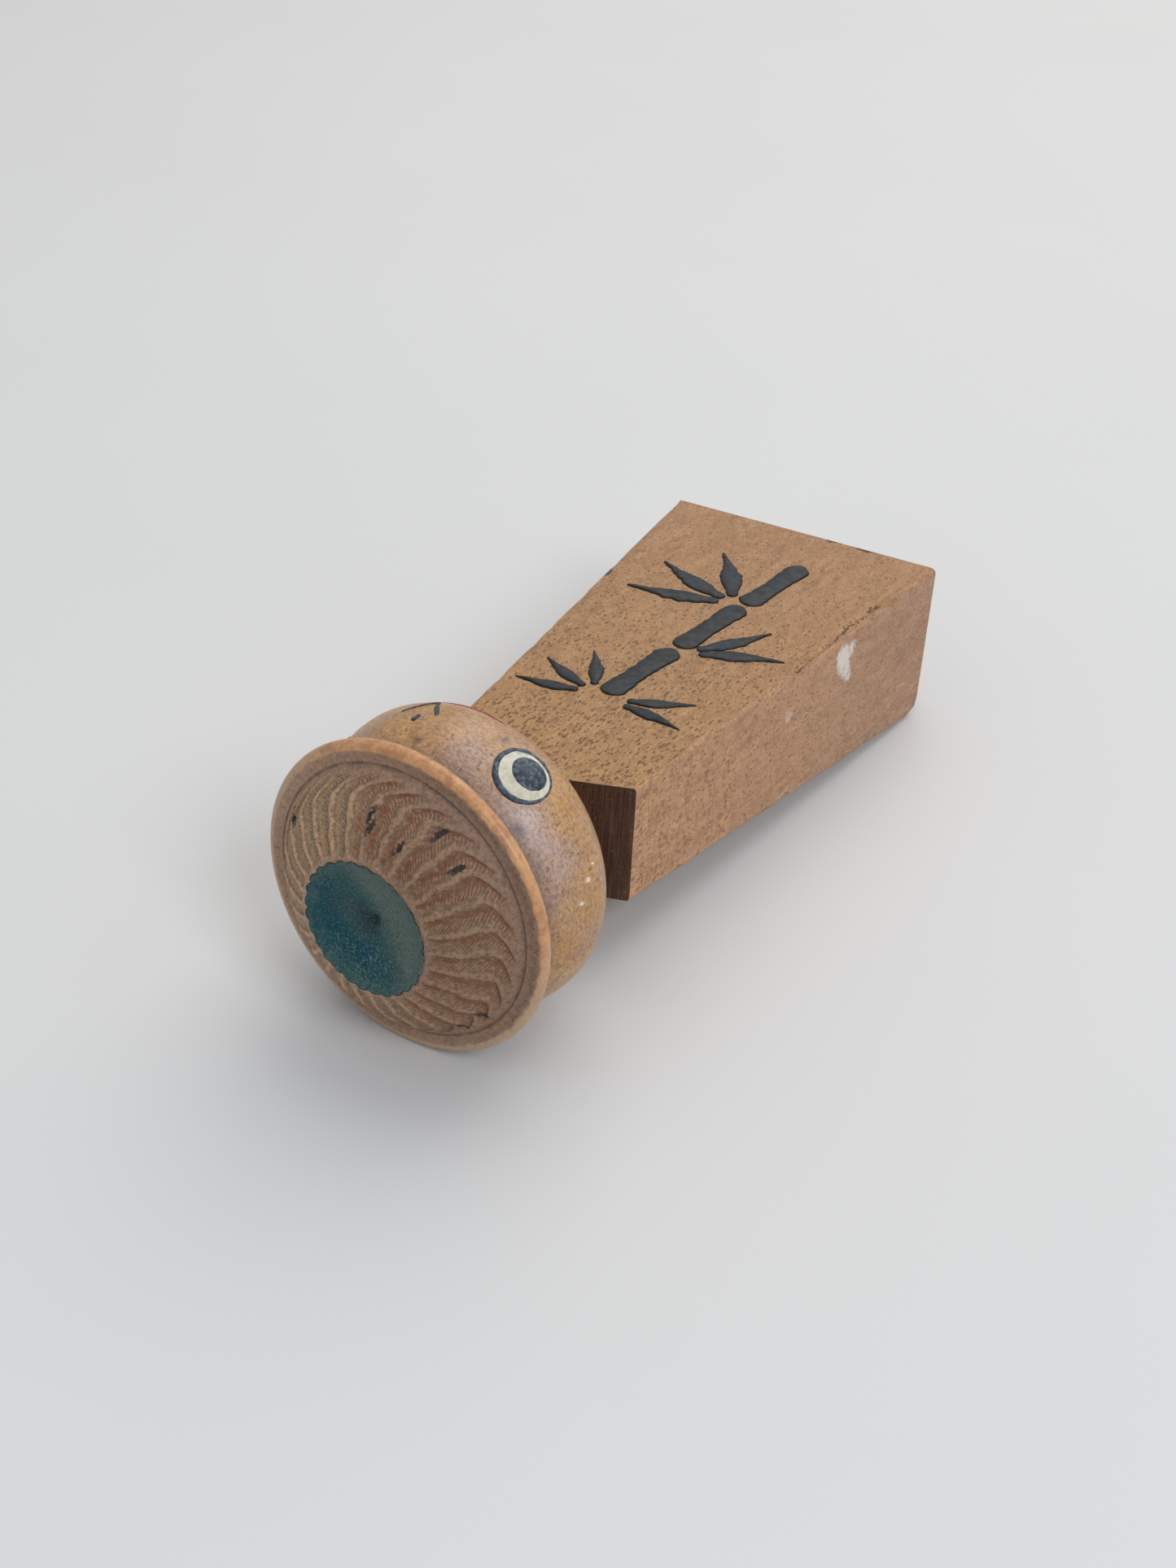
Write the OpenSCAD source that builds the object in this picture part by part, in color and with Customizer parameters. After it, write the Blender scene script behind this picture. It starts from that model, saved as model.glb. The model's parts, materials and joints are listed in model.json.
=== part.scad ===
// Wooden figure stamp, in millimetres: a sawn block in the five-sided outline of a shogi piece, and
// a turned kokeshi head with a dished crown that turns on a neck dowel. The figure is built standing
// in its own axes (z from base to crown, painted front toward -y) and is then laid on its back:
// +Z up, the painted front facing up, the head toward -Y, the brim and the base edge on z = 0.

/* [Block] */
// Width of the block at its base
base_w = 40; // [32:0.5:56]
// Thickness of the block at its base
base_t = 22.4; // [18:0.2:30]
// Width of the block across the shoulders
shoulder_w = 25.2; // [20:0.2:30]
// Thickness of the block at the shoulders
shoulder_t = 15.3; // [12:0.1:17]
// Height of the shoulder corners above the base
shoulder_z = 69; // [55:0.5:90]
// Slope of each shoulder, in degrees
shoulder_slope = 19.2; // [10:0.2:26]

/* [Neck] */
// Diameter of the neck dowel
dowel_d = 6; // [4:0.25:8]
// Depth of the dowel in the block, below the ridge
dowel_in_block = 14; // [10:0.5:24]
// Depth of the dowel in the head
dowel_in_head = 11; // [8:0.5:14]
// Chamfer on both ends of the dowel
dowel_chamfer = 0.6; // [0.2:0.1:1]
// Clearance on the radius between the dowel and the block, filled by the glue
glue_clear = 0.03; // [0.01:0.01:0.08]
// Running clearance on the radius between the dowel and the head
turn_clear = 0.05; // [0.02:0.01:0.1]
// Room left beyond each end of the dowel
end_room = 0.5; // [0.3:0.1:1]
// Gap between the ridge of the block and the underside of the head
head_gap = 0.3; // [0.2:0.05:0.6]
// Distance of the neck from the middle of the ridge, toward the figure's lean
neck_side = 0.9; // [0:0.1:2]
// Distance of the neck from the middle of the ridge, toward the painted front
neck_front = 0.8; // [0:0.1:2]
// Lean of the neck to one side, in degrees
neck_lean = 2; // [0:0.25:4]
// Turn of the face about the neck at rest, in degrees
face_turn = 16; // [-60:1:60]

/* [Head] */
// Diameter of the ball that carries the face
ball_d = 36.4; // [30:0.2:44]
// Height of the ball's lower half, from its underside to its widest
ball_low = 9.3; // [8:0.1:11]
// Height of the ball's upper half, were it whole: the cove cuts it short
ball_high = 13; // [11:0.1:15]
// Diameter over the brim
brim_d = 37.4; // [36:0.2:44]
// Thickness of the rounded brim
brim_t = 1.8; // [1.2:0.1:2.4]
// Height of the brim's middle above the underside of the ball
brim_z = 19.4; // [18:0.1:24]
// Depth of the cove between the ball and the brim, on the radius
cove_depth = 3.4; // [2.4:0.1:4]
// Width of the plain band inside the brim, up to the scored line
band_w = 2.4; // [1.5:0.1:3.5]
// Width and depth of the scored line
score_w = 0.25; // [0.15:0.05:0.4]
// Height of the crown above the brim's middle
crown_h = 7.1; // [5:0.1:9]
// Bow of the crown between the scored line and the dish
crown_bow = 0.7; // [0.3:0.1:1.2]
// Diameter of the dish in the crown
dish_d = 16.2; // [12:0.2:18]
// Depth of the dish
dish_depth = 2.2; // [1:0.1:3]

// Width of the rounded lip around the dish
dish_lip = 0.3; // [0.2:0.05:0.6]

/* [Crown grooves] */
// Number of grooves carved around the crown
grooves = 28; // [12:1:36]
// Radius of the gouge that carves each groove
gouge_r = 1.1; // [0.8:0.05:1.6]
// Depth of each groove
groove_depth = 0.3; // [0.1:0.05:0.5]
// Land left between the dish and the grooves
dish_land = 0.4; // [0.2:0.1:1]
// Land left between the grooves and the scored line
line_land = 1; // [0.6:0.1:2]

/* [Paint] */
// Thickness of each paint film
film_t = 0.15; // [0.1:0.01:0.25]
// Angle between the middle of the face and each eye, in degrees
eye_turn = 48; // [35:1:60]
// Height of the eyes above the underside of the ball
eye_z = 11.4; // [10:0.1:13]
// Height of each eye inside its outline
eye_h = 5.2; // [3.4:0.1:5.6]
// Length that each eye has in excess of its height
eye_extra_w = 0.7; // [0.2:0.1:2]
// Mean width of the outline around each eye
eye_line = 0.42; // [0.3:0.02:0.9]
// Shift of each eye inside its outline, away from the nose: the outline is widest beside the nose
eye_shift = 0.16; // [0:0.02:0.24]
// Height of each pupil
pupil_h = 3.7; // [2:0.1:3.9]
// Length that each pupil has in excess of its height
pupil_extra_w = 0.6; // [0:0.1:1]
// Distance of each pupil below the middle of its eye
pupil_drop = 0.45; // [0:0.05:0.6]
// Height of the middle of the nose mark above the underside of the ball
nose_z = 9.4; // [8.5:0.1:11]
// Half width of the nose mark
nose_w = 2.6; // [1.5:0.1:3.5]
// Height of the nose mark
nose_h = 2.4; // [1.2:0.1:2.8]
// Width of the nose strokes
nose_line = 0.4; // [0.25:0.05:0.6]
// Side of the small dab above the nose mark
dab_w = 0.9; // [0.6:0.1:1.3]
// Turn of the small dab, in degrees
dab_turn = 20; // [0:5:45]
// Height of the middle of the mouth above the underside of the ball
mouth_z = 6.1; // [5:0.1:7]
// Half width of the mouth
mouth_w = 8.6; // [5:0.1:10]
// Rise of the mouth from its middle to its corners
mouth_h = 0.9; // [0.3:0.1:1.6]
// Width of the mouth line
mouth_line = 0.7; // [0.4:0.1:1]

/* [Lacquer motif] */
// Thickness of the lacquer on the painted front
lacquer_t = 0.3; // [0.15:0.05:0.5]
// Height of the foot of the bamboo stem above the base
stem_z = 10; // [6:0.5:16]
// Distance of the foot of the stem from the middle of the front
stem_side = 4.5; // [0:0.5:8]
// Length of one joint of the stem
joint_l = 14; // [10:0.5:16]
// Width of the stem
stem_w = 3.8; // [2:0.1:4.5]
// Gap between two joints of the stem
joint_gap = 0.8; // [0.4:0.1:1.4]
// Slope of the stem, in degrees
stem_slope = 7; // [0:1:10]
// Length of the longest leaf
leaf_l = 15; // [10:0.5:16]
// Width of the longest leaf
leaf_w = 3.4; // [2:0.1:4.5]
// Width of each leaf where it leaves the stem
leaf_stalk = 1.2; // [0.8:0.1:2]
// Distance of each leaf from the middle of its spray
leaf_off = 2; // [1:0.1:3]
// Width of each leaf at its tip
leaf_tip = 0.6; // [0.4:0.1:1]
// Angle between two leaves of a spray, in degrees
leaf_fan = 34; // [24:1:40]

/* [Stamp] */
// Distance from the edges of the base to the rubber
die_inset = 2.8; // [2:0.1:5]
// Thickness of the foam cushion
cushion_t = 1.5; // [1:0.1:3]
// Thickness of the rubber sheet behind the design
die_back = 1.2; // [0.8:0.1:2]
// Height of the design above the rubber sheet
relief_h = 0.8; // [0.4:0.1:1.2]
// Width of the frame around the design
frame_w = 1; // [0.6:0.1:1.6]
// Distance of each petal from the middle of the blossom
petal_ring = 3.1; // [2.4:0.1:3.4]
// Radius of each petal
petal_r = 1.7; // [1:0.1:1.8]
// Radius of the dot in the middle of the blossom
heart_r = 0.9; // [0.5:0.1:1]

/* [Hidden] */
$fn = 96;
arc_steps = 16;
bow_steps = 8;
over = 1;

// The block: half sizes, the ridge where the shoulders meet, and the taper of the front and back
half_w = base_w / 2;
half_t = base_t / 2;
ridge_z = shoulder_z + shoulder_w / 2 * tan(shoulder_slope);
taper = atan((base_t - shoulder_t) / 2 / shoulder_z);

// The head, with heights measured along the neck from the underside of the ball
ball_r = ball_d / 2;
brim_r = brim_d / 2;
bead_r = brim_t / 2;
bead_ring = brim_r - bead_r;
cove_r = ball_r - cove_depth;
cove_cut = acos(cove_r / ball_r);
band_z = brim_z + bead_r;
score_r = brim_r - band_w;
dish_r = dish_d / 2;
crown_z = brim_z + crown_h;
flat_r = dish_r - dish_lip;
flute_r0 = dish_r + dish_land;
flute_r1 = score_r - line_land;

// The neck: the axis crosses the height of the shoulders beside the middle of the ridge
neck_rise = ridge_z + head_gap - shoulder_z;
brim_x = neck_side + (neck_rise + brim_z) * sin(neck_lean);
brim_fig_z = shoulder_z + (neck_rise + brim_z) * cos(neck_lean);

// The stamp under the base
die_w = base_w - 2 * die_inset;
die_t = base_t - 2 * die_inset;
stack = cushion_t + die_back + relief_h;

// Laying down: the tilt that brings the brim and the back edge of the base onto one floor
run = half_t + neck_front - bead_ring;
tilt = acos(bead_r / norm([run, brim_fig_z])) - atan2(brim_fig_z, run);
crown_rise = (neck_rise + crown_z) * cos(neck_lean) + shoulder_z;
head_end = crown_rise * cos(tilt) + neck_front * sin(tilt) + dish_r * norm([sin(neck_lean), sin(tilt)]);
base_end = max(stack * cos(tilt) - die_t / 2 * sin(tilt), -half_t * sin(tilt));
brim_half = bead_ring * cos(neck_lean) + bead_r;
left = max(half_w, brim_x + brim_half);
right = max(half_w, brim_half - brim_x);

// Points along an ellipse's arc, and along a line that bows out to its left
function arc(centre, rx, ry, a0, a1) =
    [for (i = [0:arc_steps]) let (a = a0 + (a1 - a0) * i / arc_steps) centre + [rx * cos(a), ry * sin(a)]];
function bow(p0, p1, rise) =
    let (d = p1 - p0, n = [-d[1], d[0]] / norm(d))
    [for (i = [0:bow_steps]) let (u = i / bow_steps) p0 + u * d + 4 * rise * u * (1 - u) * n];
function dish_at(r) = crown_z - dish_depth + dish_depth * pow(r / dish_r, 2);
function dish_curve(lift) =
    [for (i = [arc_steps:-1:0]) let (r = flat_r * i / arc_steps) [r, dish_at(r) + lift]];
function ball_curve(lift) =
    [for (i = [-arc_steps:arc_steps]) let (a = (i < 0 ? 90 : cove_cut) * i / arc_steps)
        [(ball_r + lift) * cos(a), ball_low + ((i < 0 ? ball_low : ball_high) + lift) * sin(a)]];

// Places: the whole figure laid down, the head on its neck, and the plane of the painted front
module laid() {
    translate([(left - right) / 2, (head_end - base_end) / 2, half_t * cos(tilt)])
        rotate([tilt, 0, 0]) rotate([0, 0, 180]) rotate([-90, 0, 0]) children();
}
module on_neck() {
    translate([neck_side, -neck_front, shoulder_z]) rotate([0, neck_lean, 0])
        translate([0, 0, neck_rise]) rotate(face_turn) children();
}
module on_front() {
    translate([0, -half_t, 0]) rotate([90 - taper, 0, 0]) children();
}

module outline_block() {
    polygon([[-half_w, 0], [half_w, 0], [shoulder_w / 2, shoulder_z], [0, ridge_z],
             [-shoulder_w / 2, shoulder_z]]);
}

// The block is the five-sided front outline cut by the tapered side outline
module koma_block() {
    top_t = half_t - ridge_z * tan(taper);
    color("#b08a6a") laid() difference() {
        intersection() {
            rotate([90, 0, 0]) linear_extrude(base_t + 2 * over, center = true) outline_block();
            rotate([90, 0, 90]) linear_extrude(base_w + 2 * over, center = true)
                polygon([[-half_t, 0], [half_t, 0], [top_t, ridge_z], [-top_t, ridge_z]]);
        }
        on_neck() translate([0, 0, -head_gap - dowel_in_block - end_room])
            cylinder(r = dowel_d / 2 + glue_clear, h = dowel_in_block + end_room + head_gap + over);
    }
}

module neck_dowel() {
    r = dowel_d / 2;
    length = dowel_in_block + head_gap + dowel_in_head;
    color("#c9a67c") laid() on_neck() translate([0, 0, -head_gap - dowel_in_block]) rotate_extrude()
        polygon([[0, 0], [r - dowel_chamfer, 0], [r, dowel_chamfer], [r, length - dowel_chamfer],
                 [r - dowel_chamfer, length], [0, length]]);
}

// A ball, cut off at the cove, whose surface stands the given height off the ball of the head
module ball(lift) {
    rotate_extrude() polygon(concat(ball_curve(lift),
        [[0, ball_low + (ball_high + lift) * sin(cove_cut)]]));
}

module head_profile() {
    polygon(concat(
        ball_curve(0),
        arc([bead_ring, brim_z], bead_r, bead_r, -90, 90),
        [[score_r + score_w / 2, band_z], [score_r, band_z - score_w]],
        bow([score_r - score_w / 2, band_z], [dish_r, crown_z], -crown_bow),
        dish_curve(0)));
}

// The turned head, bored for the dowel and carved with a ring of grooves from the dish to the line
module head() {
    slope = atan2(crown_z - band_z, score_r - dish_r);
    middle = [(flute_r0 + flute_r1) / 2, band_z + (score_r - (flute_r0 + flute_r1) / 2) * tan(slope)];
    length = (flute_r1 - flute_r0) / cos(slope);
    lift = crown_bow + gouge_r - groove_depth;
    color("#c8a070") laid() on_neck() difference() {
        rotate_extrude() head_profile();
        translate([0, 0, -over])
            cylinder(r = dowel_d / 2 + turn_clear, h = over + dowel_in_head + end_room);
        for (i = [0:grooves - 1]) rotate((i + 0.5) * 360 / grooves)
            translate([middle[0], 0, middle[1]]) rotate([0, slope, 0]) translate([0, 0, lift])
                rotate([0, 90, 0]) cylinder(r = gouge_r, h = length, center = true, $fn = 24);
    }
}

// A paint film lies on the ball between two heights, inside the outline given as a child. The
// outline is drawn as seen from the front of the face: x across it, y up from the underside.
module on_ball(turn, low, high) {
    rotate(turn) intersection() {
        difference() { ball(high); ball(low); }
        rotate([90, 0, 0]) linear_extrude(ball_r + over) children();
    }
}
module oval(h, stretch) {
    for (side = [-1, 1]) translate([side * stretch / 2, 0]) circle(h / 2);
    square([stretch, h], center = true);
}
// Both eyes, each the other's mirror image: +x is toward the nose
module both_eyes(low, high) {
    for (side = [0, 1]) on_ball((2 * side - 1) * eye_turn, low, high) translate([0, eye_z])
        mirror([side, 0]) children();
}
module stroke(p0, p1, width) {
    d = p1 - p0;
    translate(p0) rotate(atan2(d[1], d[0])) translate([0, -width / 2]) square([norm(d), width]);
}

module dish_paint() {
    color("#1f6878") laid() on_neck() rotate_extrude() polygon(concat(
        dish_curve(film_t), [for (i = [0:arc_steps]) let (r = flat_r * i / arc_steps) [r, dish_at(r)]]));
}
module eye_whites() {
    color("#ddd9c8") laid() on_neck() both_eyes(0, film_t)
        translate([-eye_shift, 0]) oval(eye_h, eye_extra_w);
}
module eye_outlines() {
    color("#2a3446") laid() on_neck() both_eyes(0, film_t) difference() {
        oval(eye_h + 2 * eye_line, eye_extra_w);
        translate([-eye_shift, 0]) oval(eye_h, eye_extra_w);
    }
}
module pupils() {
    color("#26303c") laid() on_neck() both_eyes(film_t, 2 * film_t)
        translate([-eye_shift, -pupil_drop]) oval(pupil_h, pupil_extra_w);
}
module nose_mark() {
    color("#333940") laid() on_neck() on_ball(0, 0, film_t) translate([0, nose_z]) {
        for (side = [-1, 1]) stroke([0, -nose_h / 2], [side * nose_w, nose_h / 2], nose_line);
        translate([0, nose_h / 2 + dab_w]) rotate(dab_turn) square(dab_w, center = true);
    }
}
module mouth_line_paint() {
    r = (mouth_w * mouth_w + mouth_h * mouth_h) / (2 * mouth_h);
    color("#b05050") laid() on_neck() on_ball(0, 0, film_t) translate([0, mouth_z]) intersection() {
        translate([0, r]) difference() { circle(r + mouth_line / 2); circle(r - mouth_line / 2); }
        translate([-mouth_w, -mouth_line]) square([2 * mouth_w, mouth_h + 2 * mouth_line]);
    }
}

// A leaf, brushed from its stalk along +x: it swells early and is drawn out to a thin tip
module leaf(size) {
    swell = [leaf_stalk, leaf_w * 0.8, leaf_w, leaf_w * 0.9, leaf_w * 0.6, leaf_w * 0.3, leaf_tip];
    side = [for (i = [0:len(swell) - 1]) [leaf_l * i / (len(swell) - 1), swell[i] / 2] * size];
    polygon(concat(side, [for (i = [len(side) - 1:-1:0]) [side[i][0], -side[i][1]]]));
}
// Leaves fanned about a direction from one side of the stem, at the foot of the given joint
module spray(joint, side, aim, count, size) {
    for (i = [0:count - 1]) translate([side * stem_w / 3, joint * (joint_l + joint_gap)])
        rotate(aim + (i - (count - 1) / 2) * leaf_fan) translate([leaf_off, 0]) leaf(size);
}
module stem_joint() {
    r = stem_w / 2;
    polygon(concat(arc([0, r], r, r, 180, 360), arc([0, joint_l - r], r, r, 0, 180)));
}

// A bamboo stem of three joints and its sprays of leaves, brushed in thick lacquer
module brush_motif() {
    color("#2f353a") laid() on_front() linear_extrude(lacquer_t) translate([-stem_side, stem_z])
        rotate(-stem_slope) {
            for (i = [0:2]) translate([0, i * (joint_l + joint_gap)]) stem_joint();
            spray(3, 1, -18, 3, 0.56);
            spray(3, -1, 196, 2, 0.56);
            spray(2, -1, 226, 2, 0.72);
            spray(1, 1, -16, 3, 0.85);
        }
}

module stamp_cushion() {
    color("#5a5a5e") laid() translate([-die_w / 2, -die_t / 2, -cushion_t])
        cube([die_w, die_t, cushion_t]);
}

// The rubber sheet and its raised design: a plum blossom and two dots in a plain frame
module rubber_die() {
    face = -cushion_t - die_back;
    gap = die_w / 4;
    color("#a8483c") laid() {
        translate([-die_w / 2, -die_t / 2, face]) cube([die_w, die_t, die_back]);
        translate([0, 0, face - relief_h]) {
            linear_extrude(relief_h) difference() {
                square([die_w, die_t], center = true);
                square([die_w - 2 * frame_w, die_t - 2 * frame_w], center = true);
            }
            for (i = [0:4]) rotate(90 + i * 72) translate([petal_ring, 0]) cylinder(r = petal_r, h = relief_h);
            cylinder(r = heart_r, h = relief_h);
            for (side = [-1, 1]) translate([side * gap, 0]) cylinder(r = petal_r, h = relief_h);
        }
    }
}

koma_block();
neck_dowel();
head();
dish_paint();
eye_whites();
eye_outlines();
pupils();
nose_mark();
mouth_line_paint();
brush_motif();
stamp_cushion();
rubber_die();
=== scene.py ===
# %% [markdown]
# # A wooden figure stamp, dressed over its solids
# The object is a folk souvenir: a sawn block in the outline of a shogi piece, and a turned head
# that sits on a neck dowel and turns. The base of the block carries a rubber stamp. The solids come
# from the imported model, with every length and place settled, so this lesson only adds what the eye
# sees: rounded and worn edges, carved grooves, brushed paint, and materials built from nodes. All
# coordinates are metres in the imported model's frame, and each piece rides on a body of that model.

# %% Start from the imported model
import json
import math

import bmesh
import bpy
import numpy as np
from mathutils import Matrix, Vector, noise


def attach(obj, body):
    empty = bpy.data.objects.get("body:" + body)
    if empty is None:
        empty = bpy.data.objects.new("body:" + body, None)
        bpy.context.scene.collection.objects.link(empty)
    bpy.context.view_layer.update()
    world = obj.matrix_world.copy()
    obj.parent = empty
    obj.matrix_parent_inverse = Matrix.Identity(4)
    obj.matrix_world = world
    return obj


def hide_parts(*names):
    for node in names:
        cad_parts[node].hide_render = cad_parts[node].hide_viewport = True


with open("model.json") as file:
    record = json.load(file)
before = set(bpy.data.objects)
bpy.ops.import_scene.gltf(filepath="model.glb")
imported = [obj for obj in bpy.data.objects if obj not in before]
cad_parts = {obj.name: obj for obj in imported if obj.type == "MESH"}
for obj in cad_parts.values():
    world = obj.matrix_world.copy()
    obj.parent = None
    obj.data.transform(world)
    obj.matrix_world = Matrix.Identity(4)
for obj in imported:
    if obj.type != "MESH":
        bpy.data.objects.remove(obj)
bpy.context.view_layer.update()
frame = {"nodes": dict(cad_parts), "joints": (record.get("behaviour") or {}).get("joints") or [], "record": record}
record = frame["record"]

# %% [markdown]
# ## Small tools
# Colours are written as the sRGB hex values that a paint chart would give, and Blender's shaders
# want linear light, so one function turns one into the other. Another adds a node to any tree, with
# its settings and its links, and every material and every Geometry Nodes tree uses it. The others
# turn points and faces into an object whose place is in its mesh, and put numbers on its points.

# %% Colour and node helpers
MM = 0.001
RANGE, MIX = "ShaderNodeMapRange", "ShaderNodeMix"
NOISE, MAPPING = "ShaderNodeTexNoise", "ShaderNodeMapping"


def paint(hex_code):
    """The linear RGBA value of an sRGB hex colour such as 'A78666'."""
    parts = [int(hex_code[i : i + 2], 16) / 255 for i in (0, 2, 4)]
    return tuple(c / 12.92 if c <= 0.04045 else ((c + 0.055) / 1.055) ** 2.4 for c in parts) + (1.0,)


def put(tree, kind, *links, **settings):
    """Adds one node with its settings; a kind in capitals is an operation of a Math node. links fill
    its open inputs in order: each is a value, an output, or a node, which stands for its first
    output. None leaves an input as it is."""
    if kind.isupper():
        kind, settings["operation"] = "ShaderNodeMath", kind
    made = tree.nodes.new(kind)
    for key, value in settings.items():
        setattr(made, key, value)
    for socket, what in zip([s for s in made.inputs if s.enabled], links):
        if isinstance(what, bpy.types.Node):
            what = next(s for s in what.outputs if s.enabled)
        if isinstance(what, bpy.types.NodeSocket):
            tree.links.new(what, socket)
        elif what is not None:
            socket.default_value = what
    return made


# %% Mesh helpers
def add(name, data):
    """A new object with this data, in the scene."""
    made = bpy.data.objects.new(name, data)
    bpy.context.scene.collection.objects.link(made)
    return made


def cleaned(mesh):
    """The mesh with its doubles merged, its empty faces gone and its faces outward and smooth."""
    shape = bmesh.new()
    shape.from_mesh(mesh)
    bmesh.ops.remove_doubles(shape, verts=shape.verts, dist=1e-7)
    bmesh.ops.dissolve_degenerate(shape, edges=shape.edges, dist=1e-8)
    bmesh.ops.recalc_face_normals(shape, faces=shape.faces)
    shape.to_mesh(mesh)
    shape.free()
    mesh.shade_smooth()
    return mesh


def solid(name, points, faces):
    """An object with these points, in metres, and these faces."""
    mesh = bpy.data.meshes.new(name)
    mesh.from_pydata([tuple(p) for p in points], [], faces)
    return add(name, cleaned(mesh))


def store(piece, **marks):
    """Keeps numbers on the points of a piece, one set for each name, for a material to read."""
    for name, values in marks.items():
        layer = piece.data.attributes.new(name, "FLOAT", "POINT")
        layer.data.foreach_set("value", np.asarray(values, np.float32))


def dress(piece, material, body, slot, *nodes):
    """Gives a finished piece its material and the body it rides on, and hides the CAD nodes it stands for."""
    piece.data.materials.clear()
    piece.data.materials.append(material)
    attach(piece, body)
    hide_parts(*nodes)
    print(piece.name, "has", len(piece.data.polygons), "faces")


# %% [markdown]
# ## Where the figure stands
# The figure lies on its back on the floor, tipped by a few degrees, with its painted front up. Its
# makers would measure it standing, so the lesson does too: x across the front, y from the front to
# the back, z from the base to the crown, in millimetres. The imported model's stamp mount gives the
# direction of the base, and the neck leans and turns from it by set angles; a print shows how far the
# neck lands from the model's hinge. Two matrices made from them turn figure or head millimetres into
# places in the frame.

# %% The figure's axes and the head's axes
STAMP_STACK = 3.5
SHOULDER_Z = 69.0
NECK_SIDE, NECK_FRONT, NECK_RISE = 0.9, 0.8, 4.688
NECK_LEAN, FACE_TURN = math.radians(2), math.radians(16)

mount = next(m for m in record["mounts"] if m["name"] == "stamp_face")
down = Vector(mount["axis"]).normalized()
up = -down
across = Vector((-1, 0, 0))
back = up.cross(across)
foot = Vector(mount["pos_m"]) - down * STAMP_STACK * MM
TURN = Matrix((across, back, up)).transposed()
FIGURE = Matrix.Translation(foot) @ TURN.to_4x4() @ Matrix.Diagonal((MM, MM, MM, 1))
HEAD = (
    FIGURE
    @ Matrix.Translation((NECK_SIDE, -NECK_FRONT, SHOULDER_Z))
    @ Matrix.Rotation(NECK_LEAN, 4, "Y")
    @ Matrix.Translation((0, 0, NECK_RISE))
    @ Matrix.Rotation(FACE_TURN, 4, "Z")
)
hinge = frame["joints"][0]
print("neck off the hinge by", round((HEAD.translation - Vector(hinge["pos_m"])).length * 1e6), "um")


def placed(matrix, points):
    """Points in figure or head millimetres, turned into metres in the frame."""
    table = np.array(matrix)
    return np.asarray(points, float) @ table[:3, :3].T + table[:3, 3]


def measured(matrix, piece):
    """The x, y and z of a piece's points, back in figure or head millimetres."""
    flat = np.zeros(len(piece.data.vertices) * 3)
    piece.data.vertices.foreach_get("co", flat)
    return placed(matrix.inverted(), flat.reshape(-1, 3)).T


def smooth(low, high, value):
    """0 below low, 1 above high, and an even curve between; low may be above high."""
    share = np.clip((np.asarray(value, float) - low) / (high - low), 0, 1)
    return share * share * (3 - 2 * share)


def bumps(points, size, seed):
    """Even noise from -1 to 1 at each point, with features of the given size in millimetres."""
    return np.array([noise.noise(Vector(p) / size + Vector((seed, 0, 0))) for p in points])


def circle(count, start=0.0):
    """Angles at even steps round a circle, and the points of the unit circle there."""
    a = np.linspace(0, 2 * math.pi, count + 1)[:-1] + start
    return a, np.stack([np.cos(a), np.sin(a), 0 * a], -1)


def spots(u, v, *marks):
    """The sum of soft spots at u, v: each is its place u, v, its reach in u and v, its strength."""
    return sum(w * np.exp(-(((u - a) / p) ** 2) - ((v - b) / q) ** 2) for a, b, p, q, w in marks)


# %% [markdown]
# ## How every material starts
# The patterns of wood and paint have sizes that a maker could measure, so each material turns Object
# coordinates into millimetres along the figure's or the head's own axes. A pattern then stays on the
# piece when the head turns, and a noise of scale 4 has grains a quarter of a millimetre across.
# Layers of colour are coats: each is one colour, put over what is under it where a noise or a stored
# mark passes a level, as dirt, stain and thin paint lie on real wood.

# %% Helpers for materials
def begin(name, axes, roughness, specular, piece=None):
    """Starts a material, and gives its tree, its coordinates in millimetres along the axes, and the
    marks stored on the piece."""
    made = bpy.data.materials.new(name)
    made.use_nodes = True
    tree = made.node_tree
    shader = tree.nodes["Principled BSDF"]
    shader.inputs["Roughness"].default_value = roughness
    shader.inputs["Specular IOR Level"].default_value = specular
    spot = put(tree, "ShaderNodeTexCoord").outputs["Object"]
    turned = (axes.translation, axes.to_euler("XYZ"), (MM, MM, MM))
    here = put(tree, MAPPING, spot, *turned, vector_type="TEXTURE")
    names = [a.name for a in piece.data.attributes if a.data_type == "FLOAT"] if piece else []
    marks = {n: put(tree, "ShaderNodeAttribute", attribute_name=n) for n in names}
    return made, tree, here, marks


def coats(tree, under, *layers):
    """Colours over what is under them, from the lowest up. Each layer is its colour, its pattern, and
    its levels: the pattern's value where the coat starts, its value where it is full, and the share
    there. Without levels the pattern is the share. Two patterns are multiplied."""
    for colour, pattern, *levels in layers:
        if isinstance(pattern, tuple):
            pattern = put(tree, "MULTIPLY", *pattern)
        if levels:
            pattern = put(tree, RANGE, pattern, *levels[:2], 0.0, *levels[2:])
        pair = [paint(c) if isinstance(c, str) else c for c in (under, colour)]
        under = put(tree, MIX, pattern, *pair, data_type="RGBA")
    return under


def finish_material(tree, colour, height=None, deep=0.05, strength=0.7, gloss=None):
    """Links a colour, a height whose full range is deep millimetres, and a roughness."""
    shader = tree.nodes["Principled BSDF"]
    tree.links.new(next(s for s in colour.outputs if s.enabled), shader.inputs["Base Color"])
    if height:
        bump = put(tree, "ShaderNodeBump", strength, deep * MM, None, height)
        tree.links.new(bump.outputs["Normal"], shader.inputs["Normal"])
    if gloss:
        tree.links.new(gloss.outputs["Result"], shader.inputs["Roughness"])


# %% [markdown]
# ## The camera, the floor and the light
# The camera stands a little above the object, in front of its crown and to its right, with a short
# telephoto lens. The floor is a plain pale sheet, large enough to fill the view to its far edge. The
# light is what a white room gives: an even pale world, a large soft lamp behind and above the object,
# and a window to its right, whose reflection is the soft sheen under the painted eye.

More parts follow.
